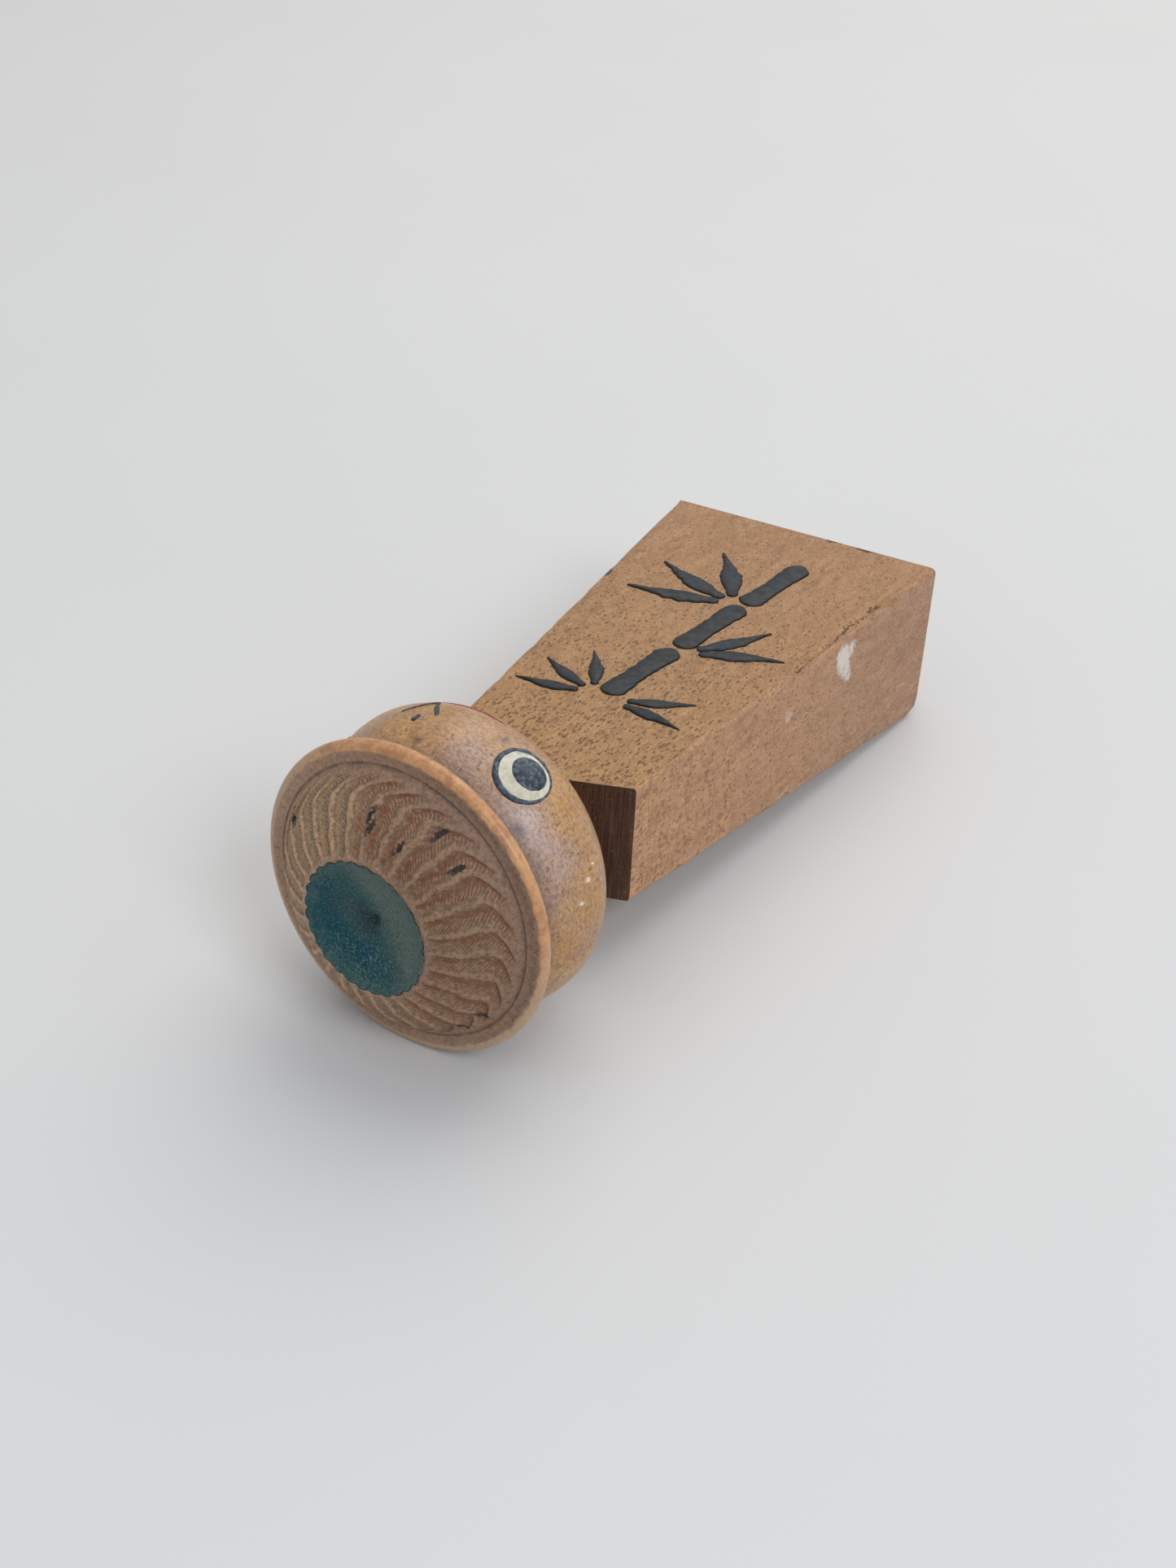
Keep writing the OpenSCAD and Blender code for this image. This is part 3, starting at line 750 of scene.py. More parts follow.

# %% [markdown]
# ### The varnished wood of the head
# The ball has a thin amber varnish over pale wood, darkened to a dull mauve-brown near the brim,
# partly by the same stain that colours the crown and partly by painted shade under the brim. A pale
# lilac patch below the eye is part pink stain and part painted sheen. The crown was stained once its
# grooves were cut, then rubbed, so the ridges are pale and the floors of the grooves keep the stain:
# reddish and darker over one half of the crown, and a thin tan over the other. One slope of each
# groove is painted darker, as shade. Each floor shows fine slanting ribs, where the gouge chattered.
# The ribs are a sine of the angle and the radius, with a whole number of cycles in each groove, so
# that they meet at the ridges.

# %% Varnish over pale wood, with grime, specks, ticks and chips, and painted shade and sheen
# Pale wood, turned and thinly varnished: an amber ball with a low sheen, and a dull carved crown
varnished, tree, here, marks = begin("amber_varnished_head", HEAD, 0.42, 0.45, head)
streak = put(tree, NOISE, put(tree, MAPPING, here, None, None, (0.5, 0.5, 0.14)), 1.0, 4.0, 0.6)
cloud = put(tree, NOISE, here, 0.16, 4.0, 0.65)
strong = put(tree, RANGE, cloud, 0.36, 0.62, 0.55, 1.1)
fine = put(tree, NOISE, put(tree, MAPPING, here, None, None, (2.0, 2.0, 3.6)), 1.0, 4.0, 0.75)
grime = put(tree, RANGE, fine, 0.48, 0.64, 0.0, 0.8)
speck = put(tree, NOISE, put(tree, MAPPING, here, None, None, (1.9, 1.9, 1.2)), 1.0, 2.0, 0.6)
ball = coats(
    tree,
    "C6985F",
    ("AA7C4B", streak, 0.35, 0.68),
    ("AC876E", cloud, 0.42, 0.58, 0.7),
    # Part pink stain, part painted highlight: the pale lilac sheen below the eye
    ("BBA39B", (marks["blush"], strong)),
    # Stain and painted shade under the brim: a dull mauve-brown toward the cove
    ("6F5C55", (marks["cove"], strong)),
    ("87664B", grime),
    ("D8B98E", fine, 0.47, 0.3, 0.5),
    ("6F4E3A", speck, 0.63, 0.7, 0.65),
    ("5F4A42", marks["tick"]),
    ("E6E0D8", (marks["chip"], fine), 0.18, 0.36, 0.85),
)

# %% Ribs on the floors of the grooves, and painted shade on one slope of each
parts = put(tree, "ShaderNodeSeparateXYZ", here).outputs
angle = put(tree, "ARCTAN2", parts["Y"], parts["X"])
flat_r = put(tree, "ShaderNodeCombineXYZ", parts["X"], parts["Y"])
radius = put(tree, "ShaderNodeVectorMath", flat_r, operation="LENGTH").outputs["Value"]
slant = put(tree, "MULTIPLY", angle, 5.0 * GROOVES)
slant = put(tree, "MULTIPLY_ADD", radius, -17.0, slant)
shake = put(tree, NOISE, here, 1.6, 3.0, 0.6)
slant = put(tree, "MULTIPLY_ADD", shake, 7.0, slant)
rib = put(tree, "SINE", slant)
rib = put(tree, RANGE, rib, -0.8, 0.8)
# Painted shade: one slope of every groove is darker, though the carved grooves are even, and its ribs show more
# strongly
ribs_and_slope_shade = put(tree, RANGE, marks["lean"], -0.35, 0.45, 0.12, 1.0)
rib = put(tree, "MULTIPLY", rib, marks["floor"])
rib = put(tree, "MULTIPLY", rib, ribs_and_slope_shade)

# %% Stained and carved crown
patchy = put(tree, NOISE, here, 0.6, 3.0, 0.6)
rust = put(tree, RANGE, patchy, 0.38, 0.56)
patchy = put(tree, RANGE, patchy, 0.36, 0.56)
grit = put(tree, NOISE, here, 2.3, 4.0, 0.75)
uneven = put(tree, "MULTIPLY_ADD", grit, 0.9, -0.45)
uneven = put(tree, "ADD", marks["floor"], uneven)
to_floor = put(tree, RANGE, uneven, 0.55, 0.85)
reddish = ("7A4F35", (marks["rust"], rust))
# The floors: a painted shade on one slope, then the stain
floors = coats(tree, "94805F", ("6C5949", ribs_and_slope_shade), ("7B644D", marks["rust"]), reddish)
cut_wood = coats(
    tree,
    "AF967A",
    ("9D856A", marks["rust"]),
    ("7C6652", uneven, 0.0, 0.4),
    (floors, to_floor),
    ("AD987F", (rib, 0.6)),
)
crown = coats(
    tree,
    "877061",
    ("A48C78", put(tree, NOISE, here, 1.1, 4.0, 0.65)),
    (cut_wood, marks["carved"]),
    ("55463D", grit, 0.5, 0.66, 0.65),
    ("B5A088", grit, 0.46, 0.32, 0.6),
)
thin_half, deep_half = (1.3, 1.14, 1.0), (0.84, 0.71, 0.62)
wash = put(tree, MIX, marks["deep"], thin_half, deep_half, data_type="VECTOR")
crown = put(tree, "ShaderNodeVectorMath", crown, wash, operation="MULTIPLY")
scored = put(tree, "MULTIPLY", marks["score"], patchy)
pit = put(tree, "MULTIPLY_ADD", grit, 3.0, -0.85)
pit = put(tree, "MULTIPLY", pit, marks["pit"])
pit = put(tree, RANGE, pit, 0.22, 0.42)
crown = coats(tree, crown, ("453831", (scored, 0.7)), ("2C211C", pit))

# %% The amber bead of the brim, with painted light: brighter honey orange on its lit side
honey = coats(tree, "B47C54", ("D09A68", patchy))
amber = coats(tree, "B79A7A", (honey, marks["bright"]), ("86624C", (grime, 0.45)))
outside = put(tree, "SUBTRACT", 1.0, marks["crown"])
skin_tone = coats(tree, ball, (crown, marks["crown"]), (amber, (outside, marks["bead"])))

# %% Relief and gloss of the head
relief = put(tree, "MULTIPLY_ADD", rib, 0.5, grit)
relief = put(tree, "SUBTRACT", relief, pit)
gloss = put(tree, RANGE, marks["crown"], 0.0, 1.0, 0.32, 0.62)
finish_material(tree, skin_tone, relief, gloss=gloss)
dress(head, varnished, "figure_head", "head_wood", "head")

# %% [markdown]
# ## Paint laid on the wood
# The dish, the eyes, the nose and the mouth are brushed paint, and the design on the front is thick
# black lacquer. Each is a real film of its own. A film is drawn flat, as its maker drew it, in
# millimetres across and up, and then laid on its surface: the ball, the dish, or the front of the
# block. A brush line is a path with a width at each point, and its section is low at both sides and
# high in the middle, as wet paint stands. A Curve object with a bevel would give a round cord; these
# two functions give a film whose edge meets the wood.

# %% Surfaces that films lie on
FILM, LACQUER, BED = 0.15, 0.3, -0.04


def on_ball(turn):
    """A place function for the ball: u across and v up, as seen from the front after a turn."""
    a = math.radians(turn)

    def place(u, v, lift):
        high = np.where(v < BALL_LOW, BALL_LOW, BALL_HIGH)
        out = np.sqrt(np.clip(1 - ((v - BALL_LOW) / (high + lift)) ** 2, 1e-6, 1))
        r = (BALL_R + lift) * out
        depth = -np.sqrt(np.clip(r**2 - u**2, 1e-6, None))
        x = u * math.cos(a) - depth * math.sin(a)
        y = u * math.sin(a) + depth * math.cos(a)
        return placed(HEAD, np.stack([x, y, v + 0 * u], -1).reshape(-1, 3))

    return place


def on_front(u, v, lift):
    """The painted front of the block: u across, v up along the face, lift off it."""
    s, c = math.sin(TAPER), math.cos(TAPER)
    y = -BASE_HALF_T + v * s - lift * c
    z = v * c + lift * s
    return placed(FIGURE, np.stack([u + 0 * v, y, z], -1).reshape(-1, 3))


def on_dish(u, v, lift):
    """The dish in the crown: u and v across it, lift above it."""
    return placed(HEAD, np.stack([u, v, dish_height(np.hypot(u, v)) + lift], -1))


# %% A brush line, and a filled patch
def line(place, path, widths, tall, closed=False, steps=9, rough=0.0, seed=0.0):
    """Points and faces of a brush line: widths across the path, tall in the middle."""
    path = np.asarray(path, float)
    widths = np.broadcast_to(np.asarray(widths, float), len(path))
    ahead = np.roll(path, -1, 0) - np.roll(path, 1, 0)
    if not closed:
        ahead[0], ahead[-1] = path[1] - path[0], path[-1] - path[-2]
    side = np.stack([-ahead[:, 1], ahead[:, 0]], -1)
    side /= np.linalg.norm(side, axis=1)[:, None]
    half = np.stack([widths, widths], -1) / 2
    run = np.cumsum(np.linalg.norm(np.diff(path, axis=0, prepend=path[:1]), axis=1))
    wild = [[noise.noise((0.9 * at, k * 9.0, seed)) for k in (0, 1)] for at in run]
    half *= 1 + np.reshape(rough, (-1, 1)) * np.array(wild)
    share = np.linspace(-1, 1, steps)
    bulge = np.sqrt(np.clip(1 - share**2, 0, 1)) ** 0.8
    rows = []
    for i in range(len(path)):
        off = np.where(share < 0, half[i, 0], half[i, 1]) * share
        thin = min(1.0, widths[i] / (2.2 * tall))
        u, v = path[i][:, None] + side[i][:, None] * off[None, :]
        top = place(u, v, tall * thin * bulge)
        low = place(u, v, BED * np.ones(steps))
        rows.append(np.concatenate([top, low[::-1][1:-1]]))
    return skin(rows, closed)


def patch(place, centre, border, tall, rings=14, dome=0.25):
    """Points and faces of a filled patch: an underside, a rounded rim, and a low dome on top."""
    centre = np.asarray(centre, float)
    reach = np.linalg.norm(border - centre, axis=1).mean()
    rim = min(0.5, 1.6 * tall / reach)
    heights = [(s, BED) for s in np.linspace(0.03, 0.97, rings)]
    shares = np.concatenate([[1.0], 1 - rim * (1 - np.cos(np.linspace(0.25, 1.57, 5)))])
    for s in np.concatenate([shares, np.linspace(1 - rim, 0.03, rings)[1:]]):
        rise = math.sqrt(max(0.0, 1 - (max(0.0, s - 1 + rim) / rim) ** 2))
        heights.append((s, tall * (rise * (1 - dome) + dome * rise * (1 - s * s))))
    ones = np.ones(len(border))
    return skin([place(*(centre + (border - centre) * s).T, height * ones) for s, height in heights])


def together(name, *parts):
    """One object from several sets of points and faces."""
    starts = np.cumsum([0] + [len(p) for p, f in parts])
    faces = [tuple(start + i for i in face) for start, (p, f) in zip(starts, parts) for face in f]
    return solid(name, np.concatenate([p for p, f in parts]), faces)


def oval(centre, half_u, half_v, count):
    """A closed path round an ellipse."""
    return centre + circle(count)[1][:, :2] * (half_u, half_v)


print("film tools are ready")

# %% [markdown]
# ## The teal dish
# The hollow in the crown is filled with teal paint, brushed out to the ends of the grooves, so its
# edge has one small scallop for each groove, deepest on the far side. The paint pooled and then
# dried unevenly: it is deep teal along the near side, blue in a few spots, thin and greyer on the far
# side, dusty toward the middle, dark in the lathe's dimple and at the rim, and dotted with pale
# grains where the wood shows through. Even noise would put such places anywhere, so each kind of
# place is a few soft spots stored on the film, whose edges the material breaks with a slow noise.

# %% Dish paint film
dish_turn, dish_ring = circle(GROOVES * 12)
arches = np.abs(np.sin(GROOVES * dish_turn / 2))
scallop = (2 * arches - 1) * (0.1 + 0.06 * bumps(dish_ring, 0.25, 6.0))
far_side = 1 + np.cos(dish_turn - math.radians(220))
notches = (arches - 1) * (0.12 + 0.12 * bumps(dish_ring, 0.3, 9.0)) * far_side
edge_r = DISH_R - 0.16 + scallop + notches + 0.07 * bumps(dish_ring, 0.4, 2.0)
border = edge_r[:, None] * dish_ring[:, :2]
dish = together("dish_paint_film", patch(on_dish, (0, 0), border, FILM, rings=40, dome=0.0))

# %% Places in the dish. Each spot has its x, y, reach and strength
x, y, z = measured(HEAD, dish)
far = np.hypot(x, y)
edge_here = np.interp(np.arctan2(y, x) % (2 * math.pi), dish_turn, edge_r, period=2 * math.pi)
dish_spots = {
    "hub": [(-0.4, -0.5, 0.45, 0.8), (0.1, 0.1, 0.5, 1.0), (1.0, -0.8, 1.1, 0.6), (1.1, 0.9, 1.0, 0.5)],
    "pool": [(5.1, -4.2, 1.8, 0.8), (6.0, -0.8, 2.2, 0.9), (4.8, 2.2, 2.0, 0.9), (2.2, 3.9, 1.6, 0.9)],
    "blue": [(2.2, 3.7, 1.0, 0.9), (1.1, 5.3, 1.0, 0.6), (5.3, -4.4, 0.9, 0.5), (6.4, -0.4, 0.8, 0.4)],
    "dusty": [(2.8, -1.5, 1.6, 0.9), (2.1, 1.2, 1.1, 0.6)],
    "grainy": [(0.4, 4.6, 2.4, 1.0), (4.4, 3.4, 2.2, 0.7), (3.4, -5.4, 1.6, 0.5)],
}
store(dish, **{n: spots(x, y, *[(a, b, s, s, w) for a, b, s, w in at]) for n, at in dish_spots.items()})
store(
    dish,
    rim=smooth(-0.34, -0.1, far - edge_here),
    faded=smooth(5.9, 7.3, far),
    thin=smooth(3.0, -1.6, x + 0.3 * y + 1.9),
)

# %% Teal paint, from the even coat up to the dark rim
# Brushed paint, dried and aged: almost matt, blotched, and dotted where the wood shows through
teal, tree, here, marks = begin("aged_teal_paint", HEAD, 0.6, 0.22, dish)
cloud = put(tree, NOISE, here, 0.7, 5.0, 0.7)
drift = put(tree, RANGE, cloud, 0.3, 0.7, -0.4, 0.4)
depth = put(tree, "ADD", drift, marks["pool"])
thin = put(tree, "MULTIPLY_ADD", drift, 0.5, marks["thin"])
thin = put(tree, RANGE, thin, 0.0, 1.0)
dusty = put(tree, "ADD", drift, 1.0)
faded = put(tree, "MULTIPLY_ADD", marks["pool"], -0.4, drift)
faded = put(tree, "ADD", faded, 0.5)
grain = put(tree, NOISE, here, 3.8, 3.0, 0.7)
pale = put(tree, RANGE, grain, 0.53, 0.68, 0.0, 0.5)
more = put(tree, RANGE, marks["grainy"], 0.0, 1.0, 0.45, 1.5)
hub = put(tree, RANGE, grain, 0.66, 0.4, 0.3, 1.3)
colour = coats(
    tree,
    "264C4E",
    ("03414A", depth, 0.0, 1.0),
    ("003E52", marks["blue"]),
    ("5D6D65", thin),
    ("37494C", (dusty, marks["dusty"])),
    ("48605E", (faded, marks["faded"])),
    (coats(tree, "78958F", ("8E967F", thin)), (pale, more)),
    ("0E2E34", grain, 0.48, 0.36, 0.6),
    ("132326", (hub, marks["hub"])),
    ("27302E", (marks["rim"], cloud), 0.4, 0.56, 0.9),
)
finish_material(tree, colour, grain, deep=0.04, strength=0.6)
dress(dish, teal, "figure_head", "dish_paint", "dish_paint")

# %% [markdown]
# ## The face
# The eyes were painted in three coats: a cream oval, a blue-black ring brushed round its edge, wide
# beside the nose and thin outside, and a dark pupil hung low. The nose is two quick strokes and a
# dab, and the mouth one long red line. A right eye is the left eye's outline with u reversed. Each
# coat lies over the last, so each film is a little taller than the one below it.

# %% Eyes
EYE_TURN, EYE_V = 48, 11.3
RING_SIZE, WHITE_SIZE, PUPIL_SIZE = (3.35, 3.05), (2.95, 2.6), (2.15, 1.85)
RING_TALL, WHITE_TALL, PUPIL_TALL, STROKE_TALL = 0.18, 0.13, 0.26, 0.16
ring_paths, white_paths, pupil_paths = [], [], []
for flip in (1, -1):
    place = on_ball(-flip * EYE_TURN)
    mirror = np.array((flip, 1))
    outer = oval((0.05, EYE_V + 0.15), *RING_SIZE, 128) * mirror
    inner = oval((-0.13, EYE_V + 0.1), *WHITE_SIZE, 128) * mirror
    middle = np.array((-0.3, EYE_V - 0.37)) * mirror
    pupil = middle + oval((0, 0), *PUPIL_SIZE, 96) * mirror
    wave = 0.05 * bumps(np.pad(pupil, ((0, 0), (0, 1))), 0.5, 4.0)[:, None]
    width = np.linalg.norm(outer - inner, axis=1) + 0.06
    ring_paths.append(line(place, (outer + inner) / 2, width, RING_TALL, True, 11, 0.5, 7.0 + flip))
    white_paths.append(patch(place, middle, inner + (outer - inner) * 0.3, WHITE_TALL))
    pupil_paths.append(patch(place, middle, pupil + wave * (pupil - middle) / 2, PUPIL_TALL))
whites = together("eye_white_films", *white_paths)
rings = together("eye_ring_films", *ring_paths)
pupils = together("pupil_films", *pupil_paths)

# %% Nose and mouth
face = on_ball(0)


def bowed(start, end, bow, t):
    """Points from start to end, bowed sideways by bow in the middle."""
    start, run = np.array(start, float), np.subtract(end, start)
    normal = np.array((-run[1], run[0])) / np.hypot(*run)
    return start + run * t[:, None] + normal * (4 * bow * t * (1 - t))[:, None]


def brushed(start, end, widths, bow, tall, rough, seed, steps=70):
    """A brush line on the face between two points, with a bow, through a few widths."""
    t = np.linspace(0, 1, steps)
    across_it = np.interp(t, np.linspace(0, 1, len(widths)), widths)
    round_ends = np.sqrt(np.clip(1 - np.clip(1 - np.minimum(t, 1 - t) * 16, 0, 1) ** 2, 0.02, 1))
    return line(face, bowed(start, end, bow, t), across_it * round_ends, tall, False, 9, rough, seed)


nose = together(
    "nose_strokes",
    brushed((-0.95, 7.95), (2.4, 10.65), (0.5, 0.3, 0.24, 0.2), 0.12, 0.14, 0.5, 3.0),
    brushed((-0.85, 7.9), (-2.7, 10.8), (0.42, 0.4, 0.62, 0.5), -0.1, STROKE_TALL, 0.4, 5.0),
    brushed((-0.75, 11.25), (-0.3, 12.2), (0.55, 0.7, 0.62), 0.0, STROKE_TALL, 0.3, 8.0, 26),
)
MOUTH_HALF_W, MOUTH_V, MOUTH_RISE = 8.7, 6.15, 0.95
t = np.linspace(-1, 1, 160)
lips = np.stack([MOUTH_HALF_W * t, MOUTH_V + MOUTH_RISE * t**2], -1)
lip_width = 0.12 + 0.5 * np.clip(1 - np.abs(t) ** 2.5, 0, 1)
mouth = together("mouth_stroke", line(face, lips, lip_width, 0.15, False, 9, 0.3, 2.0))

# %% Paints of the face
# Enamel, brushed thin: a soft sheen, with yellowed patches, grey smudges and brown grains
cream, tree, here, marks = begin("cream_eye_paint", HEAD, 0.5, 0.4)
stain = put(tree, NOISE, here, 1.2, 4.0, 0.6)
smudge = put(tree, NOISE, here, 0.9, 3.0, 0.6)
grit = put(tree, NOISE, here, 4.5, 2.0, 0.6)
tone = coats(
    tree,
    "D9D4BF",
    ("BDB59D", stain, 0.35, 0.7),
    ("8F9192", smudge, 0.55, 0.68, 0.55),
    ("8C7C66", grit, 0.64, 0.72, 0.6),
)
finish_material(tree, tone, grit, deep=0.02, strength=0.6)
dress(whites, cream, "figure_head", "eye_white", "eye_whites")


def ink(name, dark, light, size, roughness):
    """Brushed dark paint: thin places, found by noise, let a lighter tone through."""
    made, tree, here, marks = begin(name, HEAD, roughness, 0.45)
    thin = put(tree, NOISE, here, size, 4.0, 0.65)
    finish_material(tree, coats(tree, dark, (light, thin, 0.42, 0.68)), thin, deep=0.03, strength=0.7)
    return made


blue_black = ink("blue_black_ring_paint", "212A3C", "66717C", 1.8, 0.5)
navy = ink("thin_navy_pupil_paint", "192235", "616D75", 2.0, 0.4)
black = ink("black_nose_ink", "262A2E", "62605A", 2.2, 0.6)
red = ink("dull_red_lip_paint", "A94B4C", "B8776A", 1.6, 0.55)
dress(rings, blue_black, "figure_head", "eye_outline", "eye_outlines")
dress(pupils, navy, "figure_head", "pupil", "pupils")
dress(nose, black, "figure_head", "nose_paint", "nose_mark")
dress(mouth, red, "figure_head", "mouth_paint", "mouth_line_paint")

# %% [markdown]
# ## The lacquer sprig
# The front carries a bold design in thick black lacquer: a bamboo stem of three joints, and four
# sprays of leaves. A loaded brush starts each stroke with a round blob, swells, and is drawn out to
# a tip; where it runs dry, the grain of the wood makes the edge ragged. The same brush function
# draws every stroke, with widths taken from one list of shares of the leaf.

# %% Sizes of the sprig, in millimetres
STEM_Z, STEM_SIDE, STEM_SLOPE = 10.0, 4.5, math.radians(7)
JOINT_L, JOINT_GAP, STEM_W = 14.0, 0.8, 3.8
LEAF_L, LEAF_W, LEAF_OFF, LEAF_FAN = 15.0, 3.4, 2.0, 34.0
STROKE_STEP = 0.11


def on_stem(points):
    """Points of the sprig's own drawing, moved onto the front of the block."""
    c, s = math.cos(STEM_SLOPE), math.sin(STEM_SLOPE)
    u, v = np.asarray(points, float).T
    return np.stack([-STEM_SIDE + u * c + v * s, STEM_Z - u * s + v * c], -1)


def toward(aim):
    """The direction at an angle in degrees."""
    return np.array((math.cos(math.radians(aim)), math.sin(math.radians(aim))))


def stroke(start, aim, length, widths, bow, seed, dry=0.0):
    """A lacquer stroke from start toward aim (degrees), through widths at even steps along it."""
    steps = int(length / STROKE_STEP)
    t = np.linspace(0, 1, steps)
    path = bowed(start, start + length * toward(aim), bow, t)
    width = np.interp(t, np.linspace(0, 1, len(widths)), widths)
    kernel = np.hanning(max(5, steps // 9))
    padded_width = np.pad(width, len(kernel) // 2, mode="edge")
    width = np.convolve(padded_width, kernel / kernel.sum(), "same")[len(kernel) // 2 :][:steps]
    blob = np.clip(1 - length * t / (widths[0] / 2), 0, 1)
    tip = np.clip(1 - length * (1 - t) / max(widths[-1] / 2, 0.2), 0, 1)
    for end in (blob, tip):
        width = width * np.sqrt(np.clip(1 - end**2, 0.01, 1))
    return line(on_front, on_stem(path), width, LACQUER * 0.96, False, 13, 0.12 + dry * t**2, seed)


# %% Stem joints and leaves. Each spray has its joint, side, aim, number of leaves and size
full = STEM_W * np.array((1.0, 0.94, 0.84, 0.8, 0.82, 0.92, 1.04))
joint_step = JOINT_L + JOINT_GAP
strokes = [stroke((0, i * joint_step), 90, JOINT_L, full, 0.1 - 0.1 * i, 2.0 + i) for i in range(3)]
shares = np.array((0.62, 0.56, 0.9, 1.06, 0.98, 0.7, 0.42, 0.24, 0.14))
sprays = [(3, 1, -18, 3, 0.56), (3, -1, 196, 2, 0.56), (2, -1, 226, 2, 0.72), (1, 1, -16, 3, 0.85)]
for joint, side, aim, count, size in sprays:
    for i in range(count):
        leaf_aim = aim + (i - (count - 1) / 2) * LEAF_FAN
        start = np.array((side * STEM_W / 3, joint * joint_step)) + LEAF_OFF * toward(leaf_aim)
        bow = 0.5 * side * size * (1 if i else -1)
        widths = shares * LEAF_W * size
        strokes.append(stroke(start, leaf_aim, LEAF_L * size, widths, bow, 9.0 * i + joint, 0.4))
sprig = together("lacquer_sprig", *strokes)

# %% Black lacquer
# Lacquer from a loaded brush: slate black, with ripples that break its sheen, and pale dust
lacquer, tree, here, marks = begin("thick_black_lacquer", FIGURE, 0.45, 0.3)
cloud = put(tree, NOISE, here, 0.5, 4.0, 0.6)
dust = put(tree, NOISE, here, 5.0, 2.0, 0.6)
tone = coats(tree, "171C20", ("262C30", cloud, 0.35, 0.7), ("7C7064", dust, 0.7, 0.76, 0.6))
ripple = put(tree, NOISE, here, 0.9, 3.0, 0.6)
dull = put(tree, RANGE, ripple, 0.3, 0.7, 0.34, 0.6)
finish_material(tree, tone, ripple, deep=0.06, strength=0.6, gloss=dull)
dress(sprig, lacquer, "figure_body", "lacquer", "brush_motif")

# %% [markdown]
# ## The stamp under the base
# The base carries a foam cushion and a rubber die. The foam is a soft closed block whose sides bulge
# a little where the die presses on it. The die is one sheet with its design standing up from it,
# moulded, so its edges slope and round off. It is made as one surface lifted by a height that is
# worked out from distances: to the frame, to the five petals, to the heart and to the two dots.

# %% Foam cushion, as rings up its height
DIE_HALF_W, DIE_HALF_T = 17.2, 8.4
CUSHION, DIE_BACK, RELIEF = 1.5, 1.2, 0.8
FOAM_CORNER, FOAM_RIM, FOAM_BULGE = 0.8, 0.18, 0.12
# No point of a ring is on an axis, so each belongs to one corner
OFF_AXIS = 0.001
core = np.array((DIE_HALF_W - FOAM_CORNER, DIE_HALF_T - FOAM_CORNER, 0))
foam_ring = circle(160, OFF_AXIS)[1]
foam_rows = []
for t in np.linspace(-1, 1, 17) * math.pi / 2:
    in_rim = max(0.0, (abs(math.sin(t)) - 1) * CUSHION / (2 * FOAM_RIM) + 1)
    drop = FOAM_RIM * (1 - math.sqrt(1 - in_rim**2))
    row = np.sign(foam_ring) * core + foam_ring * (FOAM_CORNER - drop + FOAM_BULGE * math.cos(t))
    foam_rows.append(row + (0, 0, CUSHION * (0.5 * math.sin(t) - 0.5)))
foam_points, foam_faces = skin(foam_rows)
cushion = solid("foam_cushion", placed(FIGURE, foam_points), foam_faces)
# Closed-cell foam, die-cut: matt dark grey, full of round cells 0.2 mm across
foam, tree, here, marks = begin("grey_cell_foam", FIGURE, 0.9, 0.2)
cell = put(tree, "ShaderNodeTexVoronoi", here, None, 4.5)
cell = put(tree, RANGE, cell.outputs["Distance"], 0.1, 0.6)
finish_material(tree, coats(tree, "3E3E42", ("6B6B70", cell)), cell, deep=0.12, strength=0.8)
dress(cushion, foam, "figure_body", "cushion_foam", "stamp_cushion")

# %% Height of the die's design: inside is above 0 within the frame, a petal, the heart or a dot
DIE_STEP = 0.14
FRAME_W, MOULD_SLOPE, SOFT_RIM = 1.0, 0.14, 0.12
PETAL_RING, PETAL_R, HEART_R = 3.1, 1.7, 0.9
us = np.linspace(-DIE_HALF_W, DIE_HALF_W, int(2 * DIE_HALF_W / DIE_STEP))
vs = np.linspace(-DIE_HALF_T, DIE_HALF_T, int(2 * DIE_HALF_T / DIE_STEP))
gu, gv = np.meshgrid(us, vs)
to_rim = np.minimum(DIE_HALF_W - np.abs(gu), DIE_HALF_T - np.abs(gv))
petals = [(*(PETAL_RING * toward(90 + 72 * i)), PETAL_R) for i in range(5)]
dots = [(side * DIE_HALF_W / 2, 0, PETAL_R) for side in (-1, 1)]
inside = FRAME_W - to_rim
for u, v, r in [*petals, *dots, (0, 0, HEART_R)]:
    inside = np.maximum(inside, r - np.hypot(gu - u, gv - v))
raised = RELIEF * smooth(-MOULD_SLOPE, MOULD_SLOPE, inside)

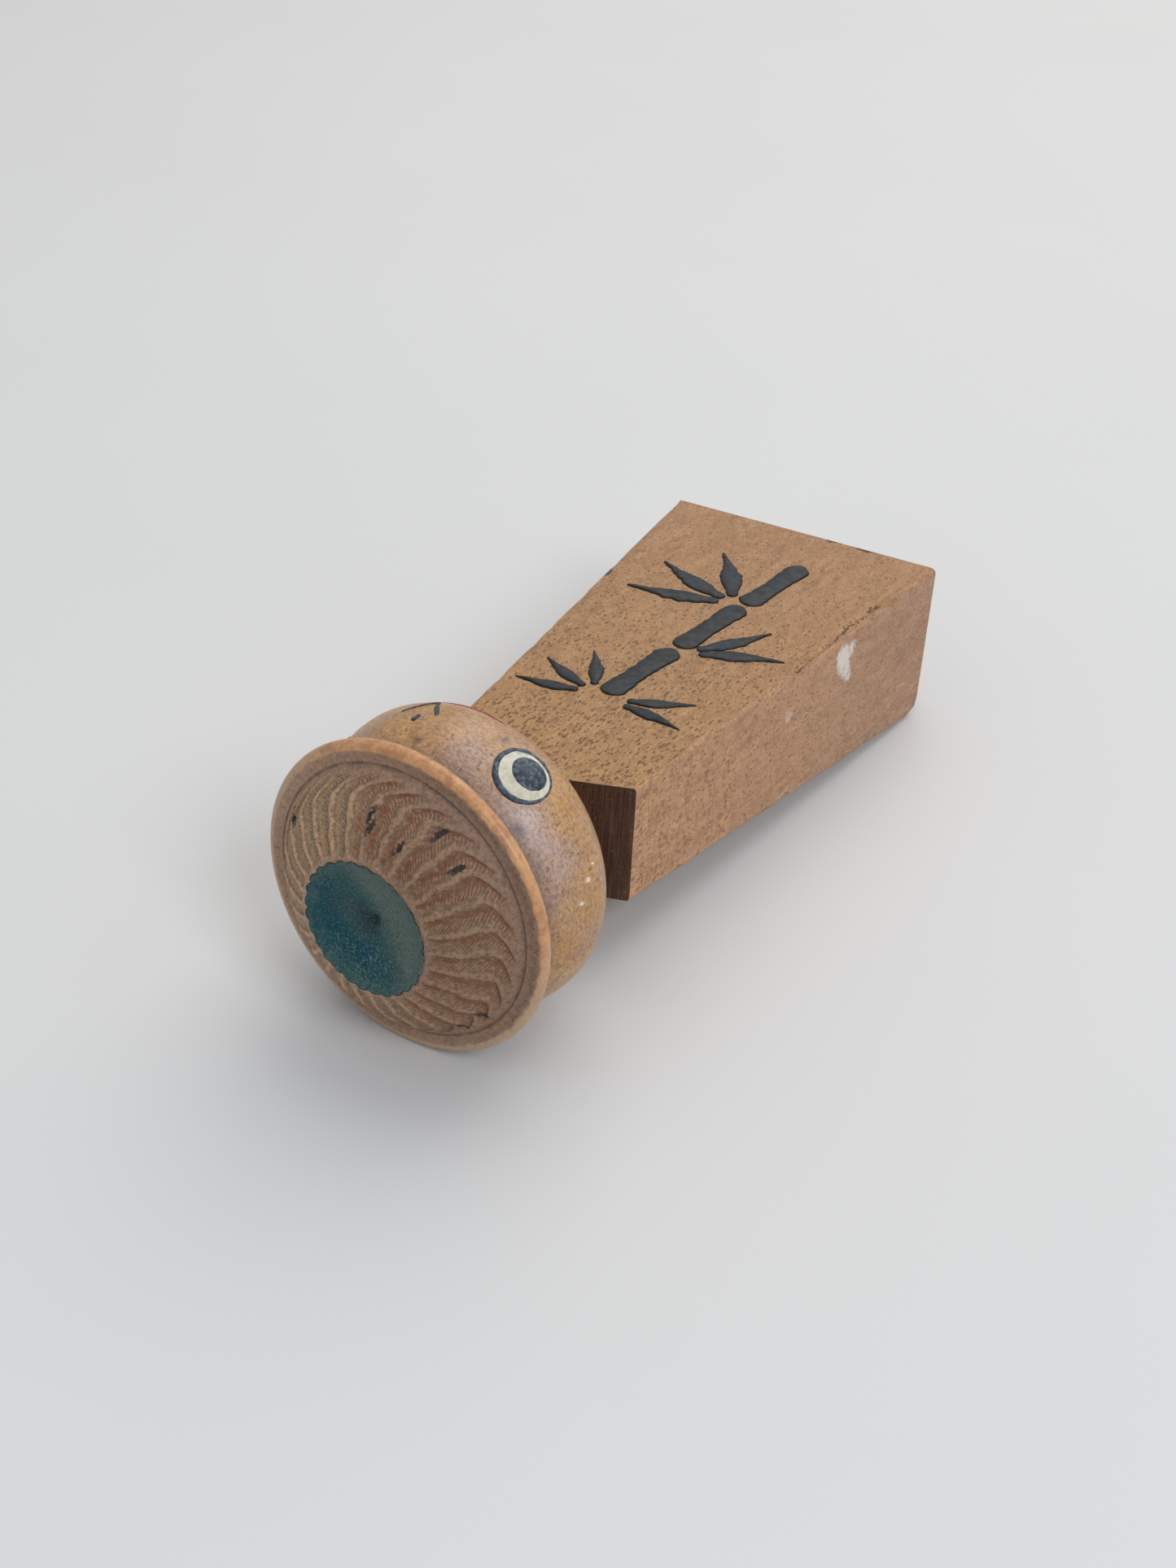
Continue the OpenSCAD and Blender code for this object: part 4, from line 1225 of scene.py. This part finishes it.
# %% Rubber die, one grid lifted by its design over a flat one, with a wall between them
rounding = SOFT_RIM * smooth(0.2, 0.0, to_rim)
top = np.stack([gu, gv, rounding - CUSHION - DIE_BACK - raised], -1)
under = np.stack([gu, gv, np.full_like(gu, -CUSHION)], -1)
index = np.arange(gu.size).reshape(gu.shape)
cells = np.stack([index[:-1, :-1], index[:-1, 1:], index[1:, 1:], index[1:, :-1]], -1).reshape(-1, 4)
loop = np.concatenate([index[0], index[1:, -1], index[-1, -2::-1], index[-2:0:-1, 0]])
after = np.roll(loop, -1)
wall = np.stack([loop, after, after + gu.size, loop + gu.size], -1)
die_faces = np.concatenate([cells, cells + gu.size, wall]).tolist()
die_points = np.concatenate([top.reshape(-1, 3), under.reshape(-1, 3)])
die = solid("moulded_rubber_die", placed(FIGURE, die_points), die_faces)
store(die, raised=np.pad(raised.reshape(-1) / RELIEF, (0, raised.size)))

# %% Red rubber, inked on its raised face
# Vulcanised rubber, moulded: an even matt brick red, dark where the raised face took ink
rubber, tree, here, marks = begin("red_stamp_rubber", FIGURE, 0.6, 0.4, die)
fine = put(tree, NOISE, here, 2.4, 4.0, 0.6)
worn_ink = put(tree, RANGE, fine, 0.35, 0.6, 0.5, 1.0)
tone = coats(tree, "A04A3C", ("8B3D33", fine), ("3A2A3E", (marks["raised"], worn_ink)))
finish_material(tree, tone, fine, deep=0.03, strength=0.5)
dress(die, rubber, "figure_body", "die_rubber", "rubber_die")

# %% [markdown]
# ## The neck dowel
# The dowel is hidden in its two bores, apart from a sliver under the head. Its solid from the packed
# model is already right, so it stays, and only gets a material: birch rod with a fine, long grain.

# %% Dowel
# Birch, turned to a rod and left bare: pale and matt, with fibres half a millimetre wide
birch, tree, here, marks = begin("birch_dowel", HEAD, 0.6, 0.35)
fibre = put(tree, NOISE, put(tree, MAPPING, here, None, None, (2.0, 2.0, 0.15)), 1.0, 3.0, 0.6)
fibre = put(tree, RANGE, fibre, 0.35, 0.7)
finish_material(tree, coats(tree, "D0B088", ("A98258", fibre)), fibre, deep=0.03, strength=0.5)
dowel = frame["nodes"]["neck_dowel"]
for dowel_slot in dowel.material_slots:
    dowel_slot.material = birch
print("dowel dressed,", len(dowel.material_slots), "slot")
